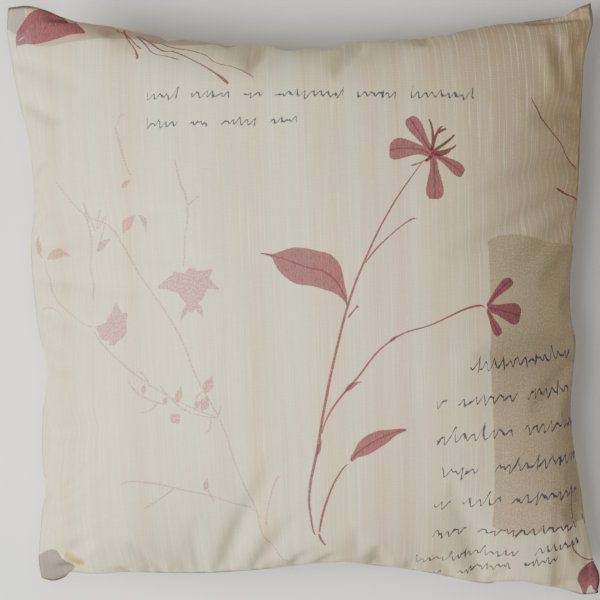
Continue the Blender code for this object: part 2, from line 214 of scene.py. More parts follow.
def edge(name, t):
    """Points of an edge at shares t of its way, drawn in as DRAWN_IN says."""
    start, end, inward = EDGE_ENDS[name]
    a, b = CORNERS[start], CORNERS[end]
    line = a[None, :] + (b - a)[None, :] * t[:, None]
    depth = smooth_through(DRAWN_IN[name], t) / MM
    return line + depth[:, None] * np.array(inward)[None, :]


def plan_at(u, v):
    """The cover's plan: points between its four edges, at shares u across and v up."""
    bottom, top = edge("bottom", u), edge("top", u)
    left, right = edge("left", 1 - v), edge("right", 1 - v)
    ends = {}
    for v_name, v_edge, at in (("bottom", "bottom", 1.0), ("top", "top", 0.0)):
        for u_name, here in (("left", 0.0), ("right", 1.0)):
            share, depth = np.array([here]), np.array([at])
            ends[v_name, u_name] = (edge(v_edge, share) + edge(u_name, depth)) / 2
    u, v = u[:, None], v[:, None]
    corners = (
        (1 - u) * (1 - v) * ends["bottom", "left"] + u * (1 - v) * ends["bottom", "right"]
        + (1 - u) * v * ends["top", "left"] + u * v * ends["top", "right"]
    )
    return (1 - v) * bottom + v * top + (1 - u) * left + u * right - corners


def cut_grid(cells):
    """The flat panel: straight edges between its corners, with what the filling takes up."""
    t = np.linspace(0, 1, cells + 1)
    u, v = t[None, :, None], t[:, None, None]
    low = (1 - u) * CORNERS["bottom_left"] + u * CORNERS["bottom_right"]
    high = (1 - u) * CORNERS["top_left"] + u * CORNERS["top_right"]
    return EASE * ((1 - v) * low + v * high)


def outline_grid(cells):
    """The cover's plan as a square grid of (cells + 1) points each way."""
    t = np.linspace(0, 1, cells + 1)
    u, v = np.tile(t, cells + 1), np.repeat(t, cells + 1)
    return plan_at(u, v).reshape(cells + 1, cells + 1, 2)


# ---- the cloth ----------------------------------------------------------------------------

def grid_faces(n, flip=False, first=0):
    k = np.arange(n * n)
    i, j = k % n, k // n
    a = first + j * (n + 1) + i
    quads = np.stack([a, a + 1, a + n + 2, a + n + 1], axis=1)
    return (quads[:, ::-1] if flip else quads).tolist()


def crown(n):
    s = np.abs(np.linspace(-1, 1, n + 1))
    one = 1 - s**2.5
    return np.sqrt(np.clip(one[None, :] * one[:, None], 0, 1))


def inflated():
    """The front and back sheets: flat cloth, drawn in to the sewn outline and blown up."""
    n = CELLS
    count = (n + 1) ** 2
    flat = cut_grid(n)
    bulge = START_BULGE * crown(n)
    cut = [np.dstack([flat, side * bulge]).reshape(-1, 3) for side in (1, -1)]
    plan = outline_grid(n)
    sewn = [np.dstack([plan, side * bulge]).reshape(-1, 3) for side in (1, -1)]

    mesh = bpy.data.meshes.new("cloth")
    faces = grid_faces(n) + grid_faces(n, True, count)
    mesh.from_pydata(np.concatenate(cut).tolist(), [], faces)
    obj = bpy.data.objects.new("cloth", mesh)
    bpy.context.scene.collection.objects.link(obj)
    obj.shape_key_add(name="cut")
    key = obj.shape_key_add(name="sewn")
    key.data.foreach_set("co", np.concatenate(sewn).ravel())

    k = np.arange(count)
    i, j = k % (n + 1), k // (n + 1)
    rim = k[(i == 0) | (i == n) | (j == 0) | (j == n)]
    group = obj.vertex_groups.new(name="seam")
    group.add(rim.tolist() + (rim + count).tolist(), 1.0, "REPLACE")

    settings = obj.modifiers.new("Cloth", "CLOTH").settings
    for name, value in CLOTH_SETTINGS.items():
        setattr(settings, name, value)
    settings.effector_weights.gravity = 0
    for number, value in ((1, 0.0), (DRAW_FRAMES, 1.0)):
        key.value = value
        key.keyframe_insert("value", frame=number)
    scene = bpy.context.scene
    for number in range(1, SIM_FRAMES + 1):
        scene.frame_set(number)
    graph = bpy.context.evaluated_depsgraph_get()
    done = bpy.data.meshes.new_from_object(obj.evaluated_get(graph))
    points = np.zeros(len(done.vertices) * 3)
    done.vertices.foreach_get("co", points)
    scene.frame_set(1)
    bpy.data.objects.remove(obj, do_unlink=True)
    sheets = points.reshape(2, n + 1, n + 1, 3)
    return sheets[0], sheets[1]


# ---- the cover's surfaces -----------------------------------------------------------------

def smoothstep(x, low, high):
    t = np.clip((x - low) / (high - low), 0, 1)
    return t * t * (3 - 2 * t)


def calmed(sheet, rounds):
    """The sheet with its folds smoothed away and its rim kept."""
    s = sheet.copy()
    for _ in range(rounds):
        s[1:-1, 1:-1] = (s[:-2, 1:-1] + s[2:, 1:-1] + s[1:-1, :-2] + s[1:-1, 2:]) / 4
    return s


def finer(grid):
    """The grid with twice the cells each way, on smooth curves through its points."""
    for axis in (0, 1):
        a = np.swapaxes(grid, 0, axis)
        p = np.concatenate([2 * a[:1] - a[1:2], a, 2 * a[-1:] - a[-2:-1]])
        out = np.empty((2 * len(a) - 1,) + a.shape[1:])
        out[::2] = a
        out[1::2] = (9 * (p[1:-2] + p[2:-1]) - p[:-3] - p[3:]) / 16
        grid = np.swapaxes(out, 0, axis)
    return grid


def rim_share(n):
    """How far each point of an n-cell grid is from the rim: 0 there, 1 in the middle."""
    s = 1 - np.abs(np.linspace(-1, 1, n + 1))
    return np.minimum(s[None, :], s[:, None])


def seam_wave(x, y):
    """How far the seam wanders up and down; it runs level along the zip."""
    wave = 0.0011 * np.sin(y / 0.0135 + 1) + 0.0007 * np.sin(x / 0.0171 + y / 0.021)
    return wave * smoothstep(y, -0.175, -0.09)


def lip_opening(x):
    """Half the slot that the zip lies in, along the zip edge."""
    return LIP_HALF_GAP * (1 - smoothstep(np.abs(x - ZIP_X), LIP_OPEN, LIP_CLOSED))


def fold(x, y, points, width, depth):
    """A soft valley along a line of points in millimetres, with a ridge on its right side."""
    line = np.array(points) / MM
    best = np.full(x.shape, 1e9)
    side, along = np.zeros(x.shape), np.zeros(x.shape)
    lengths = np.linalg.norm(np.diff(line, axis=0), axis=1)
    done = 0.0
    for a, b, length in zip(line[:-1], line[1:], lengths):
        way = (b - a) / length
        t = np.clip((x - a[0]) * way[0] + (y - a[1]) * way[1], 0, length)
        dx, dy = x - a[0] - way[0] * t, y - a[1] - way[1] * t
        distance = np.hypot(dx, dy)
        closer = distance < best
        best = np.where(closer, distance, best)
        side = np.where(closer, np.sign(dx * way[1] - dy * way[0]), side)
        along = np.where(closer, (done + t) / lengths.sum(), along)
        done += length
    across = best * side / (width / MM)
    fade = np.sin(np.pi * np.clip(along, 0, 1)) ** 0.7
    profile = -np.exp(-across**2) + RIDGE * np.exp(-((across - RIDGE_AT) ** 2))
    return depth / MM * profile * fade * np.exp(-np.maximum(best / (width / MM) - 3, 0))


# Creases pressed in: (points in millimetres, half width, depth)
FRONT_FOLDS = (
    (((-181, 178), (-178, 120), (-173, 40), (-170, -50), (-172, -148)), 5.0, 1.6),
    (((-203, 150), (-192, 142), (-180, 128)), 7.0, 3.0),
    (((-196, 85), (-186, 72), (-176, 56)), 7.0, 2.6),
    (((-192, -48), (-180, -52), (-166, -50)), 5.0, 2.4),
    (((-190, -141), (-181, -146), (-166, -136), (-150, -118)), 4.5, 4.0),
    (((-192, -168), (-178, -172), (-160, -165)), 4.0, 2.6),
    (((-188, -192), (-172, -188), (-150, -176)), 4.0, 2.6),
    (((186, 196), (192, 172), (196, 148)), 6.0, 3.4),
    (((203, 200), (204, 178), (206, 150)), 4.0, 2.2),
    (((205, -130), (203, -152), (208, -184)), 4.0, 2.6),
    (((196, -150), (200, -175), (205, -200)), 3.5, 2.2),
)
BACK_FOLDS = (
    (((-190, 150), (-170, 130), (-140, 118)), 6.0, 3.0),
    (((150, 185), (160, 160), (158, 130)), 6.0, 3.0),
    (((190, -140), (165, -130), (140, -128)), 5.0, 2.6),
)


def on_floor(z):
    """Heights above the floor, with everything below it pressed flat."""
    blend = FLOOR_BLEND
    lifted = (z + blend) ** 2 / (4 * blend)
    return np.where(z > blend, z, np.where(z < -blend, 0, lifted))


def cover_sheet(sheet, side):
    """One panel's outer surface from the simulated sheet: side is 1 for the front."""
    n = len(sheet) - 1
    share = rim_share(n)[:, :, None]
    keep = mix(WRINKLES_AT_RIM, WRINKLES_INSIDE, np.clip(share / RIM_REACH, 0, 1))
    shape = mix(calmed(sheet, CALM_ROUNDS), sheet, keep)
    shape = finer(shape)
    x, y, z = (shape[..., k].copy() for k in range(3))
    target = RISE if side > 0 else FALL
    z = np.abs(z) * target / np.abs(z).max()
    for points, width, depth in FRONT_FOLDS if side > 0 else BACK_FOLDS:
        z += fold(x, y, points, width, depth) * smoothstep(z, 0, FOLD_RIM)
    z = np.maximum(z, 0) * target / z.max()
    z = np.maximum(z, LEAST_RISE * smoothstep(rim_share(2 * n) * HALF, 0, LEAST_RISE_IN))
    lift = lip_opening(x) * np.exp(-((y - y[0]) / LIP_FADE) ** 2)
    z = SEAM_Z + side * (SEAM_HALF_GAP + z + lift)
    z += seam_wave(x, y) * np.exp(-np.abs(z - SEAM_Z) / WAVE_FADE)
    if side < 0:
        z = on_floor(z)
    return np.dstack([x, y, z])


# ---- closed sheets ------------------------------------------------------------------------

def rim_loop(n):
    """The numbers of an n-cell grid's rim points, counter-clockwise from the lower left."""
    k = np.arange(n)
    last = (n + 1) ** 2 - 1
    return np.concatenate([k, n + k * (n + 1), last - k, (n - k) * (n + 1)])


def join_loops(a, b):
    """Faces between two loops of as many points, going round the edge of a sheet."""
    return np.stack([a, b, np.roll(b, -1), np.roll(a, -1)], axis=1).tolist()


def normals_of(grid):
    """Unit normals of a grid surface, on the side that sees its points counter-clockwise."""
    du = np.gradient(grid, axis=1)
    dv = np.gradient(grid, axis=0)
    cross = np.cross(du, dv)
    return cross / np.linalg.norm(cross, axis=2, keepdims=True)


def allowance_ring(n, inward, rise, side, zip_at=None):
    """Points inward from the rim; along the zip they stand at zip_at's y and its height."""
    t = np.arange(n) / n
    zero, one = np.zeros(n), np.ones(n)
    u = np.concatenate([t, one, 1 - t, zero])
    v = np.concatenate([zero, t, one, 1 - t])
    x, y, z = seam_places(u, v, inward)
    z = side * rise + z
    if zip_at:
        share = lip_opening(x) / LIP_HALF_GAP * (v == 0)
        y = mix(y, zip_at[0], share)
        z = mix(z, side * zip_at[1], share)
    return np.stack([x, y, SEAM_Z + z], axis=1)


def seam_places(u, v, inward):
    """Places inward from the outline at shares u and v, and how high the seam is there."""
    shrink = 1 - inward / HALF
    x, y = plan_at(0.5 + (u - 0.5) * shrink, 0.5 + (v - 0.5) * shrink).T
    if inward >= INSERT_IN:
        y = np.where(v == 0, np.maximum(y, behind_zip(x, inward)), y)
    return x, y, seam_wave(x, y)


def behind_zip(x, inward):
    """The level that the edge of a piece inside the cover keeps behind, along the zip."""
    past = smoothstep(np.abs(x - ZIP_X), LIP_OPEN, LIP_OPEN + BEHIND_FADE)
    return BEHIND_ZIP + inward - INSERT_IN - BEHIND_DROP * past


def sewn_panel(name, outer, side, thick=CLOTH, allowance=ALLOWANCE, inset=0.0):
    """A panel as a closed sheet: outer surface, turned-in allowance and inner surface."""
    n = len(outer) - 1
    gap = SEAM_HALF_GAP
    inner = outer - thick * normals_of(outer) * (1 if side > 0 else -1)
    level = SEAM_Z + side * (gap + thick)
    rising = np.maximum(side * (inner[..., 2] - level), 0)
    inner[..., 2] = level + side * rising
    top, lip = LIP_FOLD_TOP, LIP_HALF_GAP
    near = TAPE_Y - GAP
    # each ring: how far in, how high above the seam, and y and height beside the zip
    steps = (
        (allowance / 3, gap, (near - 0.002, lip)),
        (allowance * 2 / 3, gap, (near, lip + 0.0007)),
        (allowance, gap, (near, top)),
        (allowance, gap + thick, (near - thick, top)),
        (allowance * 2 / 3, gap + thick, (near - thick, lip + 0.0012)),
        (2 * thick, gap + thick, (near - 0.0022, lip + thick)),
    )
    rings = []
    for inward, rise, zip_at in steps:
        zip_at = None if inset else zip_at
        rings.append(allowance_ring(n, inset + inward, rise, side, zip_at))
    loop = rim_loop(n)
    flat_inner = inner.reshape(-1, 3)
    flat_inner[loop] = rings.pop()
    count = (n + 1) ** 2
    points = np.concatenate([outer.reshape(-1, 3), flat_inner, *rings])
    loops = [loop, *(2 * count + k * 4 * n + np.arange(4 * n) for k in range(len(rings)))]
    loops.append(count + loop)
    faces = grid_faces(n) + grid_faces(n, True, count)
    for a, b in zip(loops, loops[1:]):
        faces += join_loops(a, b)
    if side < 0:
        faces = [face[::-1] for face in faces]

    s = np.linspace(-HALF, HALF, n + 1) * MM
    place = np.stack([np.tile(s, n + 1), np.repeat(s, n + 1), np.zeros(count)], axis=1)
    turned = [place[loop] * (1 + inward / HALF) for inward, _, _ in steps[:-1]]
    return add_mesh(name, points, faces, np.concatenate([place, place, *turned]))


# ---- what is inside the cover -------------------------------------------------------------

def sampled(grid, u, v):
    """The grid surface read at shares u across and v up."""
    n = len(grid) - 1
    i = np.clip((u * n).astype(int), 0, n - 1)
    j = np.clip((v * n).astype(int), 0, n - 1)
    a, b = (u * n - i)[..., None], (v * n - j)[..., None]
    low = (1 - a) * grid[j, i] + a * grid[j, i + 1]
    high = (1 - a) * grid[j + 1, i] + a * grid[j + 1, i + 1]
    return (1 - b) * low + b * high


def surface_within(cover, side, inset, below):
    """A smooth surface inside one of the cover's: inset from its seam and below its cloth."""
    shrink = 1 - inset / HALF
    s = np.linspace(0, 1, INSIDE_CELLS + 1)
    u, v = np.meshgrid(0.5 + (s - 0.5) * shrink, 0.5 + (s - 0.5) * shrink)
    above = sampled(cover, u, v)
    height = np.abs(above[..., 2] - SEAM_Z) - lip_opening(above[..., 0])
    for _ in range(2):
        padded = np.pad(height, 1, mode="edge")
        around = [padded[1:-1, 1:-1], padded[:-2, 1:-1], padded[2:, 1:-1]]
        height = np.minimum.reduce(around + [padded[1:-1, :-2], padded[1:-1, 2:]])
    height = calmed(height, 3)
    share = rim_share(INSIDE_CELLS)
    rounded = np.sqrt(1 - (1 - np.clip(share * HALF / INSIDE_ROUND, 0, 1)) ** 2)
    height = np.maximum(height - below, 0) * rounded
    plan = plan_at(u.ravel(), v.ravel()).reshape(*u.shape, 2)
    inward = smoothstep(share, 0.05, 0.5)[..., None]
    plan = mix(plan, above[..., :2], inward)
    push = np.maximum(behind_zip(plan[0, :, 0], inset) - plan[0, :, 1], 0)
    plan[..., 1] += push * (1 - s[:, None]) ** 6
    wave = seam_wave(plan[..., 0], plan[..., 1]) * np.exp(-height / WAVE_FADE)
    return np.dstack([plan, SEAM_Z + side * (SEAM_HALF_GAP + height) + wave])


def slab(name, top, bottom):
    """A closed piece between two square grids of points."""
    n = len(top) - 1
    count = (n + 1) ** 2
    loop = rim_loop(n)
    faces = grid_faces(n) + grid_faces(n, True, count) + join_loops(loop, count + loop)
    points = np.concatenate([top.reshape(-1, 3), bottom.reshape(-1, 3)])
    return add_mesh(name, points, faces, points * MM)


def tube(name, points, radius, closed=False):
    """A round thread or wire along points, as a closed mesh."""
    points = np.asarray(points)
    if closed:
        way = np.roll(points, -1, axis=0) - np.roll(points, 1, axis=0)
    else:
        way = np.gradient(points, axis=0)
    way /= np.linalg.norm(way, axis=1, keepdims=True)
    across = np.cross(way, (0, 0, 1))
    across /= np.maximum(np.linalg.norm(across, axis=1, keepdims=True), 1e-9)
    up = np.cross(across, way)
    sides = TUBE_SIDES
    turn = (np.arange(sides) * 2 * math.pi / sides)[None, :, None]
    ring = np.cos(turn) * across[:, None] + np.sin(turn) * up[:, None]
    surface = points[:, None] + radius * ring
    count = len(points)
    k = np.arange(count if closed else count - 1)[:, None]
    j = np.arange(sides)[None, :]
    after, beside = (k + 1) % count, (j + 1) % sides
    corners = (k * sides + j, k * sides + beside, after * sides + beside, after * sides + j)
    faces = np.stack(corners, axis=2).reshape(-1, 4).tolist()
    if not closed:
        faces.append(list(range(sides))[::-1])
        faces.append(list(range((count - 1) * sides, count * sides)))
    along = np.arange(count * sides) // sides * np.linalg.norm(points[1] - points[0]) * MM
    place = np.stack([along, np.arange(count * sides) % sides, 0 * along], axis=1)
    return add_mesh(name, surface.reshape(-1, 3), faces, place)


def stitched(points):
    """Points every quarter of a stitch along a line, and how far the thread swings at each."""
    lengths = np.concatenate([[0], np.cumsum(np.linalg.norm(np.diff(points, axis=0), axis=1))])
    at = np.arange(0, lengths[-1], STITCH / 4)
    even = np.stack([np.interp(at, lengths, points[:, k]) for k in range(3)], axis=1)
    return even, THREAD_WAVE * np.cos(at / STITCH * 2 * math.pi)


def put(piece, node, material):
    """piece in place of the CAD node of that name."""
    piece.data.materials.append(material)
    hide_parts(node)
    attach(piece, "cover")
    return piece


def filling_half(cover, side):
    """One side of the filling, a little lumpy away from its rim."""
    half = surface_within(cover, side, FILL_IN, FILL_BELOW)
    x, y, _ = np.moveaxis(half, 2, 0)
    lumps = np.sin(x / 0.023 + 2 * np.sin(y / 0.031))
    lumps *= np.sin(y / 0.027 + 1.3 * np.sin(x / 0.019))
    lumps *= smoothstep(rim_share(INSIDE_CELLS), 0, 0.2)
    half[..., 2] += side * (FILL_PLUMP + FILL_LUMPS * lumps)
    return half


def make_insert(covers, look):
    """The inner pillow: two casing halves, their seam and the filling."""
    for name, cover, side in covers:
        surface = surface_within(cover, side, INSERT_IN, CASING_BELOW)
        piece = sewn_panel(name + "_casing", surface, side, CASING, CASING_ALLOWANCE, INSERT_IN)
        put(piece, f"insert_{name}_casing", look["casing"])
    piece = slab("filling", *(filling_half(cover, side) for _, cover, side in covers))
    put(piece, "insert_fill", look["fibre"])

    inward = INSERT_IN + CASING_ALLOWANCE / 2
    ring = allowance_ring(INSERT_SEAM_CELLS, inward, THREAD_RISE, 1)
    points, wave = stitched(np.concatenate([ring, ring[:1]]))
    points[:, 2] += wave
    piece = tube("insert_seam", points, THREAD_R, closed=True)
    put(piece, "insert_seam_thread", look["thread"])


def make_seams(look):
    """The cover's own seam, open along the zip, and the two rows that hold the zip."""
    ring = allowance_ring(SEAM_CELLS, ALLOWANCE / 2, THREAD_RISE, 1)
    bottom = ring[:SEAM_CELLS, 0]
    half_opening = LIP_CLOSED + STITCH
    start = np.searchsorted(bottom, ZIP_X + half_opening)
    end = np.searchsorted(bottom, ZIP_X - half_opening)
    points, wave = stitched(np.concatenate([ring[start:], ring[:end]]))
    points[:, 2] += wave
    put(tube("cover_seam", points, THREAD_R), "cover_seam_thread", look["thread"])
    for name in ("front", "back"):
        node = "zip_thread_" + name
        low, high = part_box(node)
        points, wave = stitched(np.array([(low.x, high.y, low.z), (high.x, high.y, low.z)]))
        points[:, 1] = (low.y + high.y) / 2 + wave
        points[:, 2] = (low.z + high.z) / 2
        put(tube("zip_row_" + name, points, THREAD_R), node, look["thread"])


def make_label(look):
    """A small blank tab of satin tape sewn into the left seam."""
    s = np.linspace(0, 1, LABEL_CELLS + 1)
    out, up = np.meshgrid(s, s)
    low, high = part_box("care_label")
    x, y, level = seam_places(np.zeros(up.size), mix(*LABEL_AT, up.ravel()), LABEL_IN)
    x = x.reshape(up.shape) + (high.x - low.x) * out
    curl = LABEL_CURL * out**2 + 0.0003 * np.sin(up * 7) * out
    z = SEAM_Z + level.reshape(up.shape) + LABEL_RISE + curl
    bottom = np.dstack([x, y.reshape(up.shape), z])
    top = bottom + np.array((0, 0, LABEL_THICK))
    put(slab("label", top, bottom), "care_label", look["label"])


def room_at(cover, y, side):
    """Along x, how far the cover's surface is from the seam plane where it passes y."""
    xs, rooms = [], []
    for i in range(len(cover)):
        column = cover[:, i]
        j = np.searchsorted(column[: len(cover) // 2, 1], y)
        a, b = column[j - 1], column[j]
        t = (y - a[1]) / (b[1] - a[1])
        xs.append(mix(a[0], b[0], t))
        rooms.append(side * (mix(a[2], b[2], t) - SEAM_Z))
    return np.array(xs), np.array(rooms)


def zip_tape(name, cover, side):
    """A tape that stands behind the folded edge, no higher than the cover leaves room for."""
    low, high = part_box("zip_tape_" + name)
    near, far = sorted(side * (level - SEAM_Z) for level in (low.z, high.z))
    s = np.linspace(0, 1, TAPE_CELLS + 1)
    along, up = np.meshgrid(s, s)
    x = mix(low.x - TAPE_EXTRA, high.x + TAPE_EXTRA, along)
    room = np.interp(x, *room_at(cover, low.y, side)) - TAPE_SPARE
    z = SEAM_Z + side * mix(near, np.minimum(far, room), up)
    face, rear = (np.dstack([x, np.full(x.shape, y), z]) for y in (low.y, high.y))
    pair = (face, rear) if side > 0 else (rear, face)
    return slab("tape_" + name, *pair)


def zip_teeth(name, side):
    """A row of teeth: wire wound as a flat coil along the tape."""
    low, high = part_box("zip_coil_" + name)
    turns = round((high.x - low.x) / COIL_PITCH)
    angle = np.arange(turns * COIL_STEPS) * 2 * math.pi / COIL_STEPS
    x = low.x + COIL_PITCH * (angle / (2 * math.pi) + 0.25 * side)
    out = (high.y - low.y) / 2 - WIRE_R
    far = max(side * (low.z - SEAM_Z), side * (high.z - SEAM_Z)) - WIRE_R
    middle, reach = (far - COIL_OVERLAP) / 2, (far + COIL_OVERLAP) / 2
    y = (low.y + high.y) / 2 + out * np.sin(angle)
    z = SEAM_Z + side * (middle + reach * np.cos(angle))
    return tube("teeth_" + name, np.stack([x, y, z], axis=1), WIRE_R)


def make_zip(covers, look):
    for name, cover, side in covers:
        put(zip_tape(name, cover, side), "zip_tape_" + name, look["tape"])
        put(zip_teeth(name, side), "zip_coil_" + name, look["coil"])
    for node in ("zip_slider", "zip_pull_tab", "zip_top_stop_front", "zip_top_stop_back",
                 "zip_bottom_stop"):
        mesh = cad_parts[node].data
        mesh.materials.clear()
        mesh.materials.append(look["metal"])


def add_mesh(name, points, faces, flat_place=None, smooth=True):
    """A mesh object of the pillow, with each point's place on its flat cloth in millimetres."""
    mesh = bpy.data.meshes.new(name)
    mesh.from_pydata(np.asarray(points).tolist(), [], faces)
    if flat_place is not None:
        attribute = mesh.attributes.new("flat_place", "FLOAT_VECTOR", "POINT")
        attribute.data.foreach_set("vector", np.asarray(flat_place, np.float32).ravel())
    if smooth:
        mesh.shade_smooth()
    obj = bpy.data.objects.new(name, mesh)
    bpy.context.scene.collection.objects.link(obj)
    return obj


# ---- the look -----------------------------------------------------------------------------

SPECULAR = 0.25
CLOTH_ROUGH = 0.88
CLOTH_BUMP = (0.35, 0.25e-3)  # strength and depth


class Nodes:
    """A node tree, with a short call for each kind of node used here."""

    def __init__(self, tree):
        self.tree = tree

    def node(self, kind, inputs=(), **settings):
        made = self.tree.nodes.new(kind)
        for key, value in settings.items():
            setattr(made, key, value)
        for key, value in dict(inputs).items():
            self.feed(made.inputs[key], value)
        return made

    def feed(self, socket, value):
        if isinstance(value, bpy.types.NodeSocket):
            self.tree.links.new(value, socket)
        else:
            socket.default_value = value

    def math(self, operation, *values, clamp=False):
        inputs = dict(enumerate(values))
        return self.node("ShaderNodeMath", inputs, operation=operation, use_clamp=clamp).outputs[0]

    def times(self, a, b):
        return self.math("MULTIPLY", a, b)

    def plus(self, a, b):
        return self.math("ADD", a, b)

    def minus(self, a, b):
        return self.math("SUBTRACT", a, b)

    def times_plus(self, a, b, c):
        return self.math("MULTIPLY_ADD", a, b, c)

    def wave(self, value, length):
        """A sine that repeats every length millimetres."""
        return self.math("SINE", self.times(value, 2 * math.pi / length))

    def mix(self, share, a, b, blend="MIX"):
        inputs = {0: share, 6: a, 7: b}
        made = self.node("ShaderNodeMix", inputs, data_type="RGBA", blend_type=blend)
        return made.outputs[2]

    def span(self, value, low, high, to_low=0.0, to_high=1.0, kind="SMOOTHSTEP"):
        """value taken from low..high to to_low..to_high, smoothly and no further."""
        inputs = {0: value, 1: low, 2: high, 3: to_low, 4: to_high}
        return self.node("ShaderNodeMapRange", inputs, interpolation_type=kind).outputs[0]

    def straight(self, value, low, high, to_low=0.0, to_high=1.0):
        return self.span(value, low, high, to_low, to_high, "LINEAR")

    def place(self):
        """Where a point lies on its flat cloth, in millimetres."""
        return self.node("ShaderNodeAttribute", attribute_name="flat_place").outputs["Vector"]

    def stretched(self, place, scale, shift=(0, 0), turn=0.0):
        inputs = {0: place, 1: (*shift, 0), 2: (0, 0, turn), 3: scale}
        return self.node("ShaderNodeMapping", inputs).outputs[0]

    def drawn(self, place, scale, shift=(0, 0), detail=2, rough=0.5, turn=0.0):
        """Noise drawn out one way: scale is how fine it is across the cloth and up it."""
        return self.noise(self.stretched(place, (*scale, 1), shift, turn), 1.0, detail, rough)

    def parts(self, vector):
        return self.node("ShaderNodeSeparateXYZ", {0: vector}).outputs

    def bump(self, height, strength, distance):
        inputs = {"Height": height, "Strength": strength, "Distance": distance}
        return self.node("ShaderNodeBump", inputs).outputs[0]

    def dot(self, vector, way):
        inputs = {0: vector, 1: (way[0], way[1], 0)}
        return self.node("ShaderNodeVectorMath", inputs, operation="DOT_PRODUCT").outputs[1]

    def noise(self, place, scale=1.0, detail=2.0, rough=0.5):
        inputs = {"Vector": place, "Scale": scale, "Detail": detail, "Roughness": rough}
        return self.node("ShaderNodeTexNoise", inputs).outputs[0]


class Shader(Nodes):
    """A material."""

    def __init__(self, name):
        self.material = bpy.data.materials.new(name)
        self.material.use_nodes = True
        super().__init__(self.material.node_tree)
        self.surface = self.tree.nodes["Principled BSDF"]

    def finish(self, colour, rough, bump=None, strength=0.0, distance=0.0):
        self.feed(self.surface.inputs["Base Color"], colour)
        self.feed(self.surface.inputs["Roughness"], rough)
        self.surface.inputs["Specular IOR Level"].default_value = SPECULAR
        if bump is not None:
            self.feed(self.surface.inputs["Normal"], self.bump(bump, strength, distance))
        return self.material


class Group(Nodes):
    """A node group: inputs are sockets of the tree it is used in, by name."""

    def __init__(self, name, inputs):
        super().__init__(bpy.data.node_groups.new(name, "ShaderNodeTree"))
        kinds = {"VALUE": "Float", "RGBA": "Color", "VECTOR": "Vector"}
        for key, socket in inputs.items():
            kind = "NodeSocket" + kinds[socket.type]
            self.tree.interface.new_socket(key, in_out="INPUT", socket_type=kind)
        self.outside = inputs
        self.inside = self.node("NodeGroupInput").outputs

    def used_in(self, outer, result):
        """The group's colour in the tree round it, once result is what it works out."""
        interface = self.tree.interface
        interface.new_socket("Colour", in_out="OUTPUT", socket_type="NodeSocketColor")
        self.node("NodeGroupOutput", {0: result})
        used = outer.node("ShaderNodeGroup", self.outside, node_tree=self.tree)
        return used.outputs[0]


def linear(red, green, blue):
    """A colour given as 0 to 255 on the screen, for a shader."""
    def one(value):
        value /= 255
        return value / 12.92 if value <= 0.04045 else ((value + 0.055) / 1.055) ** 2.4
    return (one(red), one(green), one(blue), 1.0)


# ---- the printed cloth --------------------------------------------------------------------

class ClothMap:
    """Finds the place on the flat panel of a point of the cover seen from straight above."""

    def __init__(self, surface):
        n = len(surface) - 1
        self.seen = surface[..., :2] * MM
        s = np.linspace(-HALF, HALF, n + 1) * MM
        self.flat = np.dstack([np.tile(s, (n + 1, 1)), np.tile(s[:, None], (1, n + 1))])
        self.n = n

    def at(self, point):
        distance = ((self.seen - np.array(point)) ** 2).sum(axis=2)
        j, i = np.unravel_index(np.argmin(distance), distance.shape)
        i, j = min(max(i, 2), self.n - 2), min(max(j, 2), self.n - 2)
        seen, step = self.seen, self.flat[0, 1, 0] - self.flat[0, 0, 0]
        across = (seen[j, i + 2] - seen[j, i - 2]) / (4 * step)
        up = (seen[j + 2, i] - seen[j - 2, i]) / (4 * step)
        turn = np.stack([across, up], axis=1)
        return self.flat[j, i] + np.linalg.solve(turn, np.array(point) - seen[j, i])


def set_curve(node, points):
    """Shapes a Float Curve node through points from 0 to 1."""
    curve = node.mapping.curves[0]
    node.mapping.extend = "HORIZONTAL"
    curve.points[0].location = points[0]
    curve.points[-1].location = points[-1]
    for point in points[1:-1]:
        curve.points.new(*point)
    node.mapping.update()


CUT_OFF = 2.0  # a printed shape's width falls this far below nothing past its ends
TIP = 0.004  # over this share of its line
SPARE = 3.0  # a mark's reach past its own line and width, for telling where it is


class Line:
    """A smooth line over the flat cloth, through places given as they are seen from above."""

    def __init__(self, cloth_map, line):
        self.flat = np.array([cloth_map.at(point) for point in line])
        self.way = self.flat[-1] - self.flat[0]
        self.length = float(np.hypot(*self.way))

    def measured(self, made, place):
        """How far along the line a place is, from 0 to 1, and how far off it as a share."""
        way = self.way / self.length**2
        side = np.array((-way[1], way[0]))
        start = self.flat[0]
        t, bend = (self.flat - start) @ way, (self.flat - start) @ side
        along = made.minus(made.dot(place, way), float(start @ way))
        off = made.minus(made.dot(place, side), float(start @ side))
        if len(t) > 2:
            reach = max(abs(bend).max(), 0.01)
            curve = made.node("ShaderNodeFloatCurve", {0: 1.0, 1: along})
            points = [(float(t[k]), float(0.5 + 0.5 * bend[k] / reach)) for k in np.argsort(t)]
            set_curve(curve, points)
            off = made.times_plus(curve.outputs[0], -2 * reach, off)
            off = made.plus(off, float(reach))
        return along, off


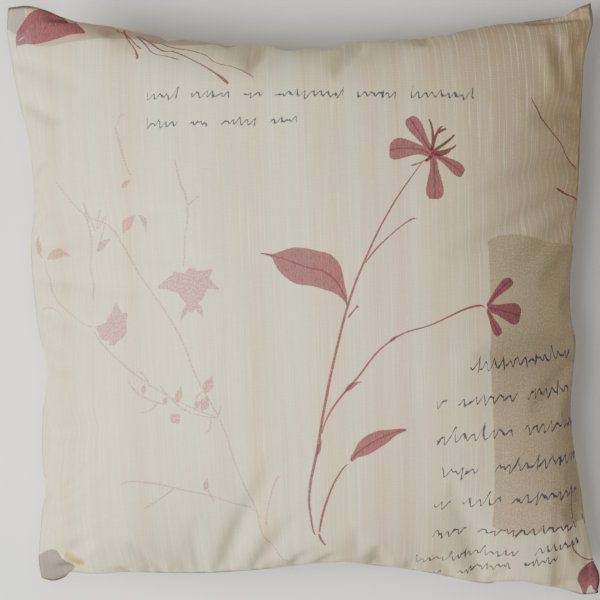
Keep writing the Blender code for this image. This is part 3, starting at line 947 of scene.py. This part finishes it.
class Mark:
    """A printed shape: a line, and its half width in mm at shares of the line."""

    def __init__(self, cloth_map, line, widths, soft=0.35):
        self.line = Line(cloth_map, line)
        self.widths = widths
        self.soft = soft
        reach = max(width for _, width in widths) + soft + SPARE
        self.low = self.line.flat.min(axis=0) - reach
        self.high = self.line.flat.max(axis=0) + reach

    def is_in(self, region):
        low, high = region
        return bool((self.low < high).all() and (self.high > low).all())

    def mask(self, made, place):
        """1 on the mark, 0 off it."""
        along, off = self.line.measured(made, place)
        widths = self.widths
        most = max(width for _, width in widths) + CUT_OFF
        ends = {0: TIP, 1: 1 - TIP}
        points = [(ends.get(at, at), (width + CUT_OFF) / most) for at, width in widths]
        points = [(0.0, 0.0), *points, (1.0, 0.0)]
        curve = made.node("ShaderNodeFloatCurve", {0: 1.0, 1: along})
        set_curve(curve, points)
        wide = made.times_plus(curve.outputs[0], most, -CUT_OFF)
        left = made.times_plus(made.math("ABSOLUTE", off), -self.line.length, wide)
        return made.span(left, -self.soft, self.soft)


def stroke(line, width=1.0, end_width=None):
    """A stem: width at its start and, where given, another at its end."""
    end_width = width if end_width is None else end_width
    widths = ((0, width / 2), (0.8, mix(width, end_width, 0.2) / 2), (1, end_width / 2))
    return line, widths, 0.3


def leaf(line, half_width):
    widths = ((0, 0.2), (0.12, 0.45), (0.35, 1.0), (0.55, 0.95), (0.8, 0.45), (1, 0.1))
    return line, tuple((at, share * half_width) for at, share in widths)


def petal(line, half_width):
    widths = ((0, 0.3), (0.3, 0.5), (0.6, 0.85), (0.82, 1.0), (0.94, 0.8), (1, 0.5))
    return line, tuple((at, share * half_width) for at, share in widths)


# The wine-red sprig: stems are (line, width, end width), leaves and petals (line, half width)
STEMS = (
    (((9.4, -172.8), (6.6, -161.4), (5.8, -132.7), (10.1, -111), (16.6, -72.4), (24.5, -35),
      (34.5, 2.2), (46, 31), (59.5, 58.5), (78, 87.2), (86.7, 98.7)), 1.7, 0.8),
    (((13.7, -96.8), (21.6, -78), (38.8, -56.6), (61.8, -30.8), (93.4, -18), (122, -5.7),
      (131.4, -6)), 1.2, 1.8),
    (((44.6, 25.2), (59.6, 42.4), (76, 55.6), (82.4, 56.3)), 0.9, 1.4),
    (((32.4, -13.6), (36, -9), (39.5, -5)), 1.0, 2.6),
    (((12.3, -170), (20.2, -138.4), (26.6, -125.5), (33.1, -118.4)), 1.5, 1.0),
    (((12, -171), (14, -176), (17, -180)), 1.8, 1.6),
    (((77.4, 95), (84, 97.2), (89.6, 100)), 0.9, 1.4),
)
LEAVES = (
    (((34.5, -116.2), (48, -104), (62, -97), (74.7, -93.6)), 6.2),
    (((29.5, -67.4), (36, -61.5), (42.4, -59.2)), 1.9),
    (((10.5, -113), (12.4, -106), (13.7, -100)), 1.3),
    (((61.5, -31), (68, -26)), 1.2),
)
BIG_LEAF = ((31.4, -5.7), (28.6, 4.5), (17.5, 18), (2, 22.5), (-14, 28.5), (-30, 32.3))
BIG_LEAF_WIDTHS = ((0, 0.3), (0.12, 4.5), (0.35, 12.5), (0.52, 14), (0.68, 12), (0.84, 4.5),
                   (0.9, 1.2), (1, 0.4))
PETALS = (
    (((93.2, 103.7), (85, 117), (76.5, 130)), 5.6),
    (((91.5, 103.5), (78, 107.5), (62, 105.5)), 7.8),
    (((93.5, 102), (94.5, 88), (94.5, 71)), 6.6),
    (((94, 103), (104, 98), (115.5, 89.5)), 4.9),
    (((132.8, -6), (141, 5), (151.5, 13.5)), 4.0),
    (((132.8, -6.5), (145, -9), (158, -12.5)), 7.6),
    (((132.8, -7.5), (137, -17), (142, -26.5)), 3.8),
)
STAMENS = (
    ((92.5, 106), (93.6, 118), (91, 129)),
    ((93.2, 106), (96.8, 119), (101, 124)),
    ((94, 106), (103, 112), (109.5, 118)),
    ((94, 105), (104, 106.5), (110.5, 110.5)),
    ((94, 104), (102, 104), (107, 108)),
    ((97, 119), (100.5, 121), (103.5, 122)),
    ((88, 98), (93, 103), (97, 108)),
)
EDGE_STEMS = (
    (((-138.3, 199.8), (-129.8, 194), (-117.5, 182)), 0.9, 1.3),
    (((-132, 199.8), (-129.8, 193), (-121, 179), (-120, 174)), 1.0, 2.2),
    (((-122.5, 193.4), (-114, 184.7), (-109, 179), (-99.5, 176.2), (-89.5, 173.3)), 0.9, 1.2),
    (((-121, 193.4), (-112.5, 187.7), (-103, 181), (-94, 179.7), (-74, 169.7), (-63.8, 163.2),
      (-53, 154)), 1.1, 2.6),
    (((-112.5, 189), (-98, 184), (-72.3, 177.6), (-62, 170.4), (-49.4, 166.8), (-35, 158.3)),
     0.8, 1.0),
    (((167.3, 147.4), (175.9, 131.6), (196, 107.3), (204.7, 97)), 0.7, 1.3),
    (((187.9, 81.5), (193, 79.3), (206, 73.8)), 1.1, 1.2),
    (((199.3, -148), (199.6, -156), (199.3, -163.5)), 0.9, 0.9),
    (((199.5, -178), (202, -186.8), (208.4, -192.5), (217, -194.5)), 0.8, 1.2),
)
EDGE_LEAVES = (
    (((-214, 188), (-206, 203), (-186, 206), (-160, 196)), 12.5),
    (((-213, 190), (-188, 196.5), (-160, 196)), 6.5),
    (((217, -196), (212, -208), (212, -222)), 7.5),
    (((217, -196), (219, -208), (220, -219)), 7.0),
)

# The faded sprigs at the left: dotted stems and washed-out leaves
FAINT_STEMS = (
    ((-182, 87), (-161.3, 62.8), (-133.3, 44), (-118.2, 18.3), (-89.3, -24), (-75, -57.8),
     (-60, -84.8), (-49, -116), (-33.3, -154.2), (-20.3, -183.8), (-3, -194.3)),
    ((-152.6, -23), (-139.5, -39), (-112.5, -60.4), (-92.3, -72), (-61.5, -84.8)),
    ((-135.5, 124.5), (-132.5, 113), (-128.3, 98.7), (-123.2, 88.7)),
    ((-158.4, 65.7), (-156.3, 51.3), (-154, 38.4), (-154.8, 19.7), (-152.6, -1.5)),
    ((-91.7, 100), (-88, 85), (-82.3, 65.7), (-83.8, 44.2), (-85.2, 22.7)),
    ((-82, 66), (-77, 71), (-73, 73)),
    ((-191.4, 28.4), (-188.5, 15.5), (-184.2, 2.6), (-170, -12), (-153.8, -21)),
    ((-194.3, -8), (-184.2, -8), (-177, -15)),
    ((-132.5, -135.7), (-109.6, -133.5), (-92.4, -137), (-63.7, -143.6), (-33.5, -155)),
    ((-115.4, -152.9), (-103.9, -145.7), (-92.4, -137)),
    ((-14.2, -127), (-19.9, -132.8), (-23.5, -145), (-26.4, -165)),
    ((-125.3, -58.5), (-119, -68), (-108, -73.5), (-97, -76)),
    ((-103, -62), (-96, -70), (-84, -80), (-72, -84), (-61, -85)),
    ((-72, -80), (-76, -72), (-71, -66), (-66, -59)),
    ((-60.5, -85), (-59, -80), (-58.5, -76)),
    ((-148, 38), (-146, 47), (-143, 60)),
    ((-64, -147), (-67, -141), (-69.5, -136)),
    ((-126, 128.5), (-129.5, 133), (-134, 124.5)),
    ((-160, 70.4), (-157.5, 62), (-151.8, 49.5)),
    ((-162.9, 64.6), (-159, 60), (-156.5, 56)),
    ((-147.4, 65.7), (-149, 58), (-151, 51)),
    ((-143.9, 60), (-147, 55), (-150.5, 51)),
    ((-110, -64), (-113, -57), (-118, -52)),
    ((-104, -74), (-109, -80), (-116, -82)),
    ((-66, -84), (-66, -92), (-70, -97)),
)
FAINT_LEAVES = (
    (((-138.3, -34), (-135, -19), (-135.4, -3.5)), 9.0),
    (((-137, -27), (-144, -24), (-151, -21)), 6.5),
    (((-126.5, -11), (-133, -16), (-138, -22)), 5.0),
    (((-79, 22), (-79, 8), (-79.7, -10)), 11.0),
    (((-76, 11), (-90, 11), (-104, 8)), 6.5),
    (((-79, 9), (-85, 13), (-93, 19)), 5.0),
    (((-81, 8), (-73, 14), (-64, 20.5)), 6.0),
    (((-76, 13), (-68, 11), (-59.5, 6.5)), 3.8),
    (((-81, -3), (-84, -9), (-87, -15.5)), 2.0),
    (((-76, -3), (-73.5, -8), (-71, -13)), 2.4),
    (((-196, 47), (-197, 38), (-192, 29)), 2.4),
    (((-190, 29), (-182, 33.5), (-171.5, 31.5)), 4.0),
    (((-130, 48), (-127, 54), (-121, 60)), 4.4),
    (((-120, 60), (-114.5, 57), (-113, 47)), 2.0),
    (((-150, 34), (-145, 40), (-139.5, 43)), 3.0),
    (((-131, 80), (-124, 86)), 2.0),
    (((-70, -68), (-64, -55)), 3.6),
    (((-72, -80), (-68, -69.5)), 3.8),
    (((-90, -75), (-87, -63)), 2.6),
    (((-94, -89), (-88, -83)), 4.2),
    (((-115, -69), (-113.5, -61)), 1.8),
    (((-100, -75), (-97, -71)), 2.0),
    (((-77, -79), (-74, -73)), 2.0),
    (((-70.5, -139), (-68.5, -129)), 1.9),
)

# Patches of other papers under the print: (line, half widths)
TOP_PAPER = (((-205, 204), (-174, 202), (-124, 196), (-85, 190), (-40, 186), (-10, 188)),
        ((0, 18), (0.2, 14.5), (0.5, 12.5), (0.7, 9.5), (0.86, 6), (1, 3)))
GRAINY = (((136.2, -63.5), (218, -63.5)),
          ((0, 104.5), (0.4, 104.5), (0.62, 103), (0.82, 99), (1, 94)))
CORNER_PAPER = (((-221.5, 217.5), (-214, 207), (-208, 199)), ((0, 14), (0.5, 9), (1, 4)))
CORNER_GREY = (((-196.5, -210), (-187, -201), (-177, -195)), ((0, 9), (0.5, 13), (1, 10)))
# Painted shade in the deep folds near the corners, as a warm yellow tint: (line, half widths,
# strength)
FOLD_SHADE_TINTS = (
    (((-177, -190), (-170, -194), (-162, -197)), ((0, 2), (0.5, 4), (1, 2)), 0.95),
    (((-197, -134), (-190, -142), (-186, -150)), ((0, 5), (0.5, 7), (1, 4)), 0.2),
    (((200, 204), (203, 192), (205, 178)), ((0, 3), (0.5, 5), (1, 3)), 0.3),
)

PEN_SLANT = 0.42
ROW_SHIFT = 0.09  # each row starts further left, by this share of the pitch
ROW_APART = 83.7  # along the noise, from one row's scribble to the next
# Pen scribble: the top row's line, rows, pitch, size, and a number that sets its shapes
PEN_ROWS = (
    (((-112, 145), (-40, 146), (30, 146), (124, 146)), 1, 20, 1.0, 11.0),
    (((-112, 124.5), (-60, 125.5), (-4, 127)), 1, 20, 0.9, 17.0),
    (((120, -50), (160, -46), (200, -41)), 1, 20, 1.35, 3.0),
    (((96, -76), (150, -72), (205, -66)), 5, 25, 1.35, 5.0),
    (((84, -193), (130, -187), (205, -180)), 1, 20, 1.0, 8.0),
    (((84, -205), (130, -199), (190, -193)), 1, 20, 0.8, 9.0),
)

# Vertical bands in the dyed yarn: millimetres from the middle and how warm and how pink
BANDS = (
    (-225, 0.35, 0.1), (-205, 0.2, 0.0), (-190, 0.55, 0.2), (-178, 0.3, 0.1), (-160, 0.1, 0.0),
    (-140, 0.2, 0.1), (-127, 0.45, 0.8), (-118, 0.2, 0.2), (-104, 0.05, 0.1), (-85, 0.0, 0.0),
    (-64, 0.1, 0.35), (-48, 0.2, 0.1), (-37, 0.75, 0.2), (-30, 0.45, 0.1), (-18, 0.1, 0.0),
    (-2, 0.0, 0.0), (12, 0.4, 0.1), (25, 0.8, 0.2), (35, 0.2, 0.1), (44, 0.3, 0.3),
    (53, 0.6, 0.7), (62, 0.25, 0.2), (71, 0.6, 0.9), (80, 0.1, 0.1), (92, 0.5, 0.1),
    (104, 0.7, 0.2), (114, 0.3, 0.1), (125, 0.6, 0.6), (138, 0.3, 0.2), (152, 0.6, 0.5),
    (170, 0.3, 0.2), (200, 0.6, 0.4),
)
BAND_REACH = 240.0
SLUB_STEP = 5.6  # millimetres between the thicker threads of the warp
RIB = 1.25  # millimetres from one crosswise rib to the next
YARN = 0.62  # and from one warp yarn to the next

CREAM = linear(221, 216, 184)
BEIGE = linear(214, 197, 156)
ROSE = linear(211, 182, 158)
SLUB = linear(236, 230, 204)
# painted shade: the brown that darkens the cloth towards its upper right
PAINTED_SHADE_BROWN = linear(168, 142, 104)
WINE = linear(148, 72, 88)
WINE_DARK = linear(100, 38, 52)
FAINT = linear(176, 116, 112)
STEM_WINE = linear(132, 66, 76)
TOP_PAPER_TONE = linear(182, 150, 128)
PAPER_GRAIN = linear(170, 152, 122)
GRAIN_LIGHT = linear(200, 184, 146)
CORNER_PALE = linear(160, 150, 142)
GREY_ROSE = linear(128, 114, 110)
# painted shade: the warm yellow of the deep folds
FOLD_SHADE_YELLOW = linear(186, 158, 92)
INK = linear(58, 66, 84)


def band_ramp(made, x, which):
    """How warm (1) or how pink (2) the yarn is across the cloth."""
    ramp = made.node("ShaderNodeValToRGB", {0: made.straight(x, -BAND_REACH, BAND_REACH)})
    stops = ramp.color_ramp.elements
    stops.remove(stops[0])
    stops[0].position = (BANDS[0][0] / BAND_REACH + 1) / 2
    for band in BANDS[1:]:
        stops.new((band[0] / BAND_REACH + 1) / 2)
    for stop, band in zip(stops, BANDS):
        stop.color = (band[which],) * 3 + (1,)
    return ramp.outputs[0]


def woven_cloth(made, place):
    """Slubby striped cloth: its colour and the height of its weave."""
    x, y, _ = made.parts(place)
    drift = made.drawn(place, (0.02, 0.008))
    x_drift = made.times_plus(drift, 6.0, x)
    fine = made.drawn(place, (0.28, 0.0035), detail=3, rough=0.6)
    broad = made.drawn(place, (0.07, 0.002), (31, 7))
    warm = made.times_plus(fine, 1.3, made.minus(broad, 1.1))
    warm = made.math("ADD", band_ramp(made, x_drift, 1), warm, clamp=True)
    pink = made.drawn(place, (0.11, 0.003), (77, 3))
    pink = made.span(pink, 0.5, 0.75, 0.0, 0.6)
    pink = made.math("MAXIMUM", pink, band_ramp(made, x_drift, 2))
    colour = made.mix(warm, CREAM, BEIGE)
    colour = made.mix(made.times(pink, 0.6), colour, ROSE)

    # painted shade: the cloth is darker and browner towards the upper right, where its surface
    # turns away from the light
    painted_shade_reach = made.times_plus(y, 0.45, x)
    colour = made.mix(made.span(painted_shade_reach, 90, 290, 0, 0.7), colour, PAINTED_SHADE_BROWN)

    # pale warp slubs that come and go, and a crosswise rib
    slub = made.drawn(place, (0.62, 0.012), (5, 40), 1)
    slub = made.span(slub, 0.62, 0.70)
    dash = made.drawn(place, (0.5, 0.9), detail=1)
    slub = made.times(slub, made.span(dash, 0.3, 0.55, 0.35, 1.0))
    near = made.math("PINGPONG", made.times_plus(drift, 3.0, x), SLUB_STEP / 2)
    drawn = made.times(made.span(near, 0.5, 0.15), made.span(dash, 0.36, 0.56))
    slub = made.math("MAXIMUM", slub, made.times(drawn, 0.75))
    colour = made.mix(made.times(slub, 0.6), colour, SLUB)
    rib = made.wave(y, RIB)
    yarn = made.wave(x, YARN)
    uneven = made.drawn(place, (0.12, 1.6))
    shade = made.times_plus(rib, 0.022, made.straight(uneven, 0, 1, -0.09, 0.09))
    shade = made.times_plus(yarn, 0.012, shade)
    threads = made.drawn(place, (0.9, 0.012), (50, 9), rough=0.6)
    shade = made.plus(shade, made.straight(threads, 0.3, 0.7, -0.06, 0.05))
    speck = made.noise(place, 1.9, 2, 0.7)
    shade = made.plus(shade, made.straight(speck, 0, 1, -0.10, 0.10))
    height = made.plus(made.times(rib, 0.3), made.times(yarn, 0.2))
    height = made.plus(height, made.times_plus(uneven, 0.9, slub))
    return colour, shade, height


def shaded(made, colour, shade):
    """colour made lighter or darker by shade, about 0."""
    factor = made.plus(shade, 1.0)
    grey = made.node("ShaderNodeCombineXYZ", {0: factor, 1: factor, 2: factor}).outputs[0]
    return made.mix(1.0, colour, grey, "MULTIPLY")


class Pen:
    """Rows of pen scribble with no letters in it, from a line that is the top row's."""

    def __init__(self, cloth_map, line, rows, pitch, size, seed):
        self.line = Line(cloth_map, line)
        self.rows, self.pitch, self.size, self.seed = rows, pitch, size, seed
        ends = self.line.flat
        self.low = ends.min(axis=0) - ((rows - 1) * pitch * 0.3 + 12, (rows - 1) * pitch + 10)
        self.high = ends.max(axis=0) + 10

    is_in = Mark.is_in

    def mask(self, made, place):
        along, off = self.line.measured(made, place)
        x = made.times(along, self.line.length)
        down = made.times(off, -self.line.length / self.pitch)
        row = made.math("MINIMUM", made.math("MAXIMUM", down, 0.0), self.rows - 1.0)
        row = made.math("ROUND", row)
        off = made.times(made.minus(row, down), self.pitch)
        slanted = made.times_plus(off, -PEN_SLANT, x)
        u = made.times_plus(row, ROW_APART, slanted)
        line = made.node("ShaderNodeCombineXYZ", {0: u, 1: row, 2: self.seed}).outputs[0]
        words = made.drawn(line, (0.052, 5), detail=0)
        letters = made.drawn(line, (0.16, 5), (9, 0), 1)
        tall = made.drawn(line, (0.22, 5), (40, 0), 0)
        pace = 1.15 / self.size
        phase = made.times_plus(letters, 7.0, made.times(u, pace))
        amount = made.straight(letters, 0.3, 0.7, 0.5 * self.size, 2.5 * self.size)
        amount = made.plus(amount, made.span(tall, 0.6, 0.7, 0.0, 2.8 * self.size))
        level = made.times(made.math("SINE", phase), amount)
        level = made.plus(level, made.straight(tall, 0.3, 0.7, -1.0, 2.2))
        # a steep stroke of the pen is no thicker than a level one
        slope = made.times(made.math("COSINE", phase), amount)
        slope = made.times(slope, 1.15 * pace)
        steep = made.math("SQRT", made.times_plus(slope, slope, 1.0))
        distance = made.math("ABSOLUTE", made.minus(off, level))
        mark = made.span(made.math("DIVIDE", distance, steep), 0.78, 0.36)
        mark = made.times(mark, made.span(words, 0.41, 0.44))
        start = made.times(row, -self.pitch * ROW_SHIFT)
        mark = made.times(mark, made.math("GREATER_THAN", x, start))
        return made.times(mark, made.math("LESS_THAN", x, self.line.length))


class Layer:
    """Marks in one ink: its colours and cover are varied by spans of the cloth's noises."""

    def __init__(self, share, inks, marks, tone=None, cover=None):
        self.share, self.inks, self.marks = share, inks, marks
        self.tone, self.cover = tone, cover

    def over(self, made, colour, place, noises, region):
        mask = None
        for mark in self.marks:
            if mark.is_in(region):
                one = mark.mask(made, place)
                mask = one if mask is None else made.math("MAXIMUM", mask, one)
        if mask is None:
            return colour
        ink = self.inks[0]
        if self.tone:
            which, *span = self.tone
            ink = made.mix(made.span(noises[which], *span), *self.inks)
        mask = made.times(mask, self.share)
        if self.cover:
            which, *span = self.cover
            mask = made.times(mask, made.span(noises[which], *span))
        return made.mix(mask, colour, ink)


GRAIN, DOTS, STREAKS = range(3)


def print_layers(cloth_map):
    """The print from its papers up to the pen, with painted shade in the deep folds."""
    def marks(*shapes):
        return [Mark(cloth_map, *shape) for shape in shapes]

    layers = [
        Layer(0.75, (TOP_PAPER_TONE,), marks((*TOP_PAPER, 0.9))),
        Layer(0.8, (CORNER_PALE,), marks((*CORNER_PAPER, 0.8))),
        Layer(0.85, (GREY_ROSE,), marks((*CORNER_GREY, 0.8))),
        Layer(0.92, (PAPER_GRAIN, GRAIN_LIGHT), marks((*GRAINY, 0.8)), (GRAIN, 0.44, 0.66)),
    ]
    # painted shade: a warm yellow tint along the deep folds near the corners
    for line, widths, strength in FOLD_SHADE_TINTS:
        layers.append(Layer(strength, (FOLD_SHADE_YELLOW,), marks((line, widths, 3.0))))
    faint_stems = marks(*(stroke(line, 1.1) for line in FAINT_STEMS))
    faint_leaves = marks(*(leaf(*shape) for shape in FAINT_LEAVES))
    layers.append(Layer(0.72, (FAINT,), faint_stems, None, (DOTS, 0.38, 0.54)))
    layers.append(Layer(0.85, (FAINT,), faint_leaves, None, (GRAIN, 0.36, 0.58, 0.35, 1.0)))

    blades = marks((BIG_LEAF, BIG_LEAF_WIDTHS))
    blades += marks(*(leaf(*shape) for shape in LEAVES + EDGE_LEAVES))
    blades += marks(*(petal(*shape) for shape in PETALS))
    veins = marks(stroke(BIG_LEAF, 0.9), stroke(LEAVES[0][0], 0.7))
    veins += marks(*(stroke(line, 0.8) for line, _ in PETALS))
    stems = marks(*(stroke(*stem) for stem in STEMS + EDGE_STEMS))
    stamens = marks(*(stroke(line, 1.8, 1.2) for line in STAMENS))
    layers.append(Layer(0.88, (WINE_DARK, WINE), blades, (STREAKS, 0.30, 0.62)))
    layers.append(Layer(0.5, (WINE_DARK,), veins))
    layers.append(Layer(0.95, (STEM_WINE,), stems, None, (DOTS, 0.30, 0.45, 0.55, 1.0)))
    layers.append(Layer(0.9, (WINE_DARK,), stamens))
    pens = [Pen(cloth_map, *rows) for rows in PEN_ROWS]
    layers.append(Layer(0.9, (INK,), pens))
    return layers


def print_over(made, cloth, place, noises, layers, region, depth=4):
    """The cloth's surface shader with the print on it.

    It is a tree of ever smaller regions, and each region holds only the marks that reach it.
    """
    low, high = region
    if depth:
        axis = depth % 2
        middle = (low[axis] + high[axis]) / 2
        cut_low, cut_high = list(low), list(high)
        cut_low[axis] = cut_high[axis] = middle
        below = print_over(made, cloth, place, noises, layers, (low, cut_high), depth - 1)
        above = print_over(made, cloth, place, noises, layers, (cut_low, high), depth - 1)
        share = made.math("GREATER_THAN", made.parts(place)[axis], middle)
        return made.node("ShaderNodeMixShader", {0: share, 1: below, 2: above}).outputs[0]
    inputs = {"Cloth": cloth[0], "Place": place, "Noises": noises, "Shade": cloth[1]}
    group = Group("print_region", inputs)
    colour, place, noises, shade = [group.inside[name] for name in inputs]
    noises = group.parts(noises)
    for layer in layers:
        colour = layer.over(group, colour, place, noises, region)
    colour = group.used_in(made, shaded(group, colour, shade))
    surface = {"Base Color": colour, "Roughness": CLOTH_ROUGH, "Specular IOR Level": SPECULAR}
    surface["Normal"] = cloth[2]
    return made.node("ShaderNodeBsdfPrincipled", surface).outputs[0]


def printed_cloth(cloth_map):
    """The front panel's cloth with its print of pressed flowers, papers and pen scribble, and
    painted shade in its deep folds.
    """
    made = Shader("printed_cloth")
    place = made.place()
    colour, shade, height = woven_cloth(made, place)
    rough_edge = made.noise(place, 0.7, 3, 0.7)
    nudge = made.node("ShaderNodeCombineXYZ", {0: rough_edge, 1: rough_edge}).outputs[0]
    torn = made.node("ShaderNodeVectorMath", {0: place, 1: nudge}, operation="ADD").outputs[0]
    grain = made.noise(place, 0.75, 3, 0.75)
    dots = made.noise(place, 0.9, 2, 0.6)
    streaks = made.drawn(place, (1.2, 0.25), detail=3, rough=0.7, turn=0.6)
    noises = made.node("ShaderNodeCombineXYZ", {0: grain, 1: dots, 2: streaks}).outputs[0]
    cloth = (colour, shade, made.bump(height, *CLOTH_BUMP))
    region = ((-HALF * MM,) * 2, (HALF * MM,) * 2)
    surface = print_over(made, cloth, torn, noises, print_layers(cloth_map), region)
    made.tree.nodes.remove(made.surface)
    made.feed(made.tree.nodes["Material Output"].inputs["Surface"], surface)
    return made.material


def plain_cloth():
    """The same striped cloth without the print, for the back."""
    made = Shader("striped_cloth")
    colour, shade, height = woven_cloth(made, made.place())
    return made.finish(shaded(made, colour, shade), CLOTH_ROUGH, height, *CLOTH_BUMP)


def woven_look(name, colour, thread, rough=0.85):
    """Plain woven cloth or tape: thread is its yarns' spacing in millimetres."""
    made = Shader(name)
    x, y, z = made.parts(made.place())
    warp = made.wave(x, thread)
    weft = made.wave(made.plus(y, z), thread)
    height = made.times(warp, weft)
    uneven = made.noise(made.place(), 0.35, 3)
    shade = made.times_plus(height, 0.04, made.straight(uneven, 0, 1, -0.1, 0.1))
    return made.finish(shaded(made, colour, shade), rough, height, 0.3, 0.1e-3)


def thread_look(name, colour, rough):
    """Two-ply thread: slanting stripes along it."""
    made = Shader(name)
    x, y, _ = made.parts(made.place())
    ply = made.math("SINE", made.times_plus(x, 2 * math.pi / 0.7, y))
    shade = made.times(ply, 0.1)
    return made.finish(shaded(made, colour, shade), rough, ply, 0.4, 0.05e-3)


def fibre_look():
    made = Shader("polyester_fibre")
    place = made.place()
    tangle = made.noise(made.stretched(place, (1.0, 0.35, 1.0), turn=0.5), 0.9, 6, 0.7)
    shade = made.straight(tangle, 0.2, 0.8, -0.12, 0.1)
    return made.finish(shaded(made, linear(238, 238, 234), shade), 0.95, tangle, 0.8, 1.0e-3)


def metal_look():
    """Dull nickel plate with fine wear."""
    made = Shader("nickel_plate")
    place = made.node("ShaderNodeTexCoord").outputs["Object"]
    wear = made.noise(place, 900.0, 4, 0.6)
    made.surface.inputs["Metallic"].default_value = 1.0
    rough = made.straight(wear, 0, 1, 0.25, 0.5)
    shade = made.straight(wear, 0, 1, -0.1, 0.1)
    return made.finish(shaded(made, linear(186, 182, 174), shade), rough, wear, 0.1, 0.05e-3)


def inner_looks():
    return {
        "thread": thread_look("cream_thread", linear(214, 206, 184), 0.7),
        "coil": thread_look("nylon_teeth", linear(206, 200, 182), 0.4),
        "tape": woven_look("zip_tape", linear(208, 200, 178), 0.7),
        "casing": woven_look("white_cotton", linear(236, 234, 226), 0.5),
        "label": woven_look("satin_tape", linear(238, 236, 230), 0.35, 0.45),
        "fibre": fibre_look(),
        "metal": metal_look(),
    }


# ---- floor, light and camera --------------------------------------------------------------

MIDDLE = Vector((0, 0, SEAM_Z))
FLOOR_SIZE = 3.0
FLOOR_BELOW = 0.0004  # just clear of the cloth that rests on it
CAMERA_AT = Vector((-0.0022, -0.0015, 1.3))  # from the pillow's middle
FRAME_WIDTH = 0.450


def make_floor():
    size = FLOOR_SIZE
    corners = [(-size, -size, 0), (size, -size, 0), (size, size, 0), (-size, size, 0)]
    floor = add_mesh("floor", corners, [(0, 1, 2, 3)], smooth=False)
    floor.location.z = -FLOOR_BELOW
    made = Shader("floor_paper")
    floor.data.materials.append(made.finish(linear(245, 245, 243), 0.9))


def add_light(name, place, energy, size):
    light = bpy.data.lights.new(name, "AREA")
    light.energy = energy
    light.size = size
    obj = bpy.data.objects.new(name, light)
    obj.location = place
    obj.visible_camera = False
    bpy.context.scene.collection.objects.link(obj)
    obj.rotation_euler = (MIDDLE - obj.location).to_track_quat("-Z", "Y").to_euler()


def make_light():
    add_light("window", (-0.95, -0.22, 0.80), 16, 0.5)
    add_light("lamp", (-0.13, -0.02, 0.70), 2.7, 0.3)
    add_light("bounce", (0.3, -1.2, 0.6), 1, 0.8)
    world = bpy.data.worlds.new("room")
    bpy.context.scene.world = world
    world.use_nodes = True
    background = world.node_tree.nodes["Background"]
    background.inputs["Color"].default_value = (1, 1, 1, 1)
    background.inputs["Strength"].default_value = 0.30


def make_camera():
    """Straight above the pillow, looking down."""
    camera = bpy.data.cameras.new("camera")
    camera.lens = camera.sensor_width * CAMERA_AT.z / FRAME_WIDTH
    obj = bpy.data.objects.new("camera", camera)
    obj.location = MIDDLE + CAMERA_AT
    bpy.context.scene.collection.objects.link(obj)
    bpy.context.scene.camera = obj


# ---- all of it ----------------------------------------------------------------------------

def main():
    sides = (("front", 1), ("back", -1))
    sheets = zip(sides, inflated())
    covers = [(name, cover_sheet(sheet, side), side) for (name, side), sheet in sheets]
    for name, outer, side in covers:
        panel = sewn_panel(name + "_cover", outer, side)
        look = printed_cloth(ClothMap(outer)) if side > 0 else plain_cloth()
        put(panel, name + "_panel", look)
    look = inner_looks()
    make_insert(covers, look)
    make_seams(look)
    make_label(look)
    make_zip(covers, look)
    make_floor()
    make_light()
    make_camera()


main()
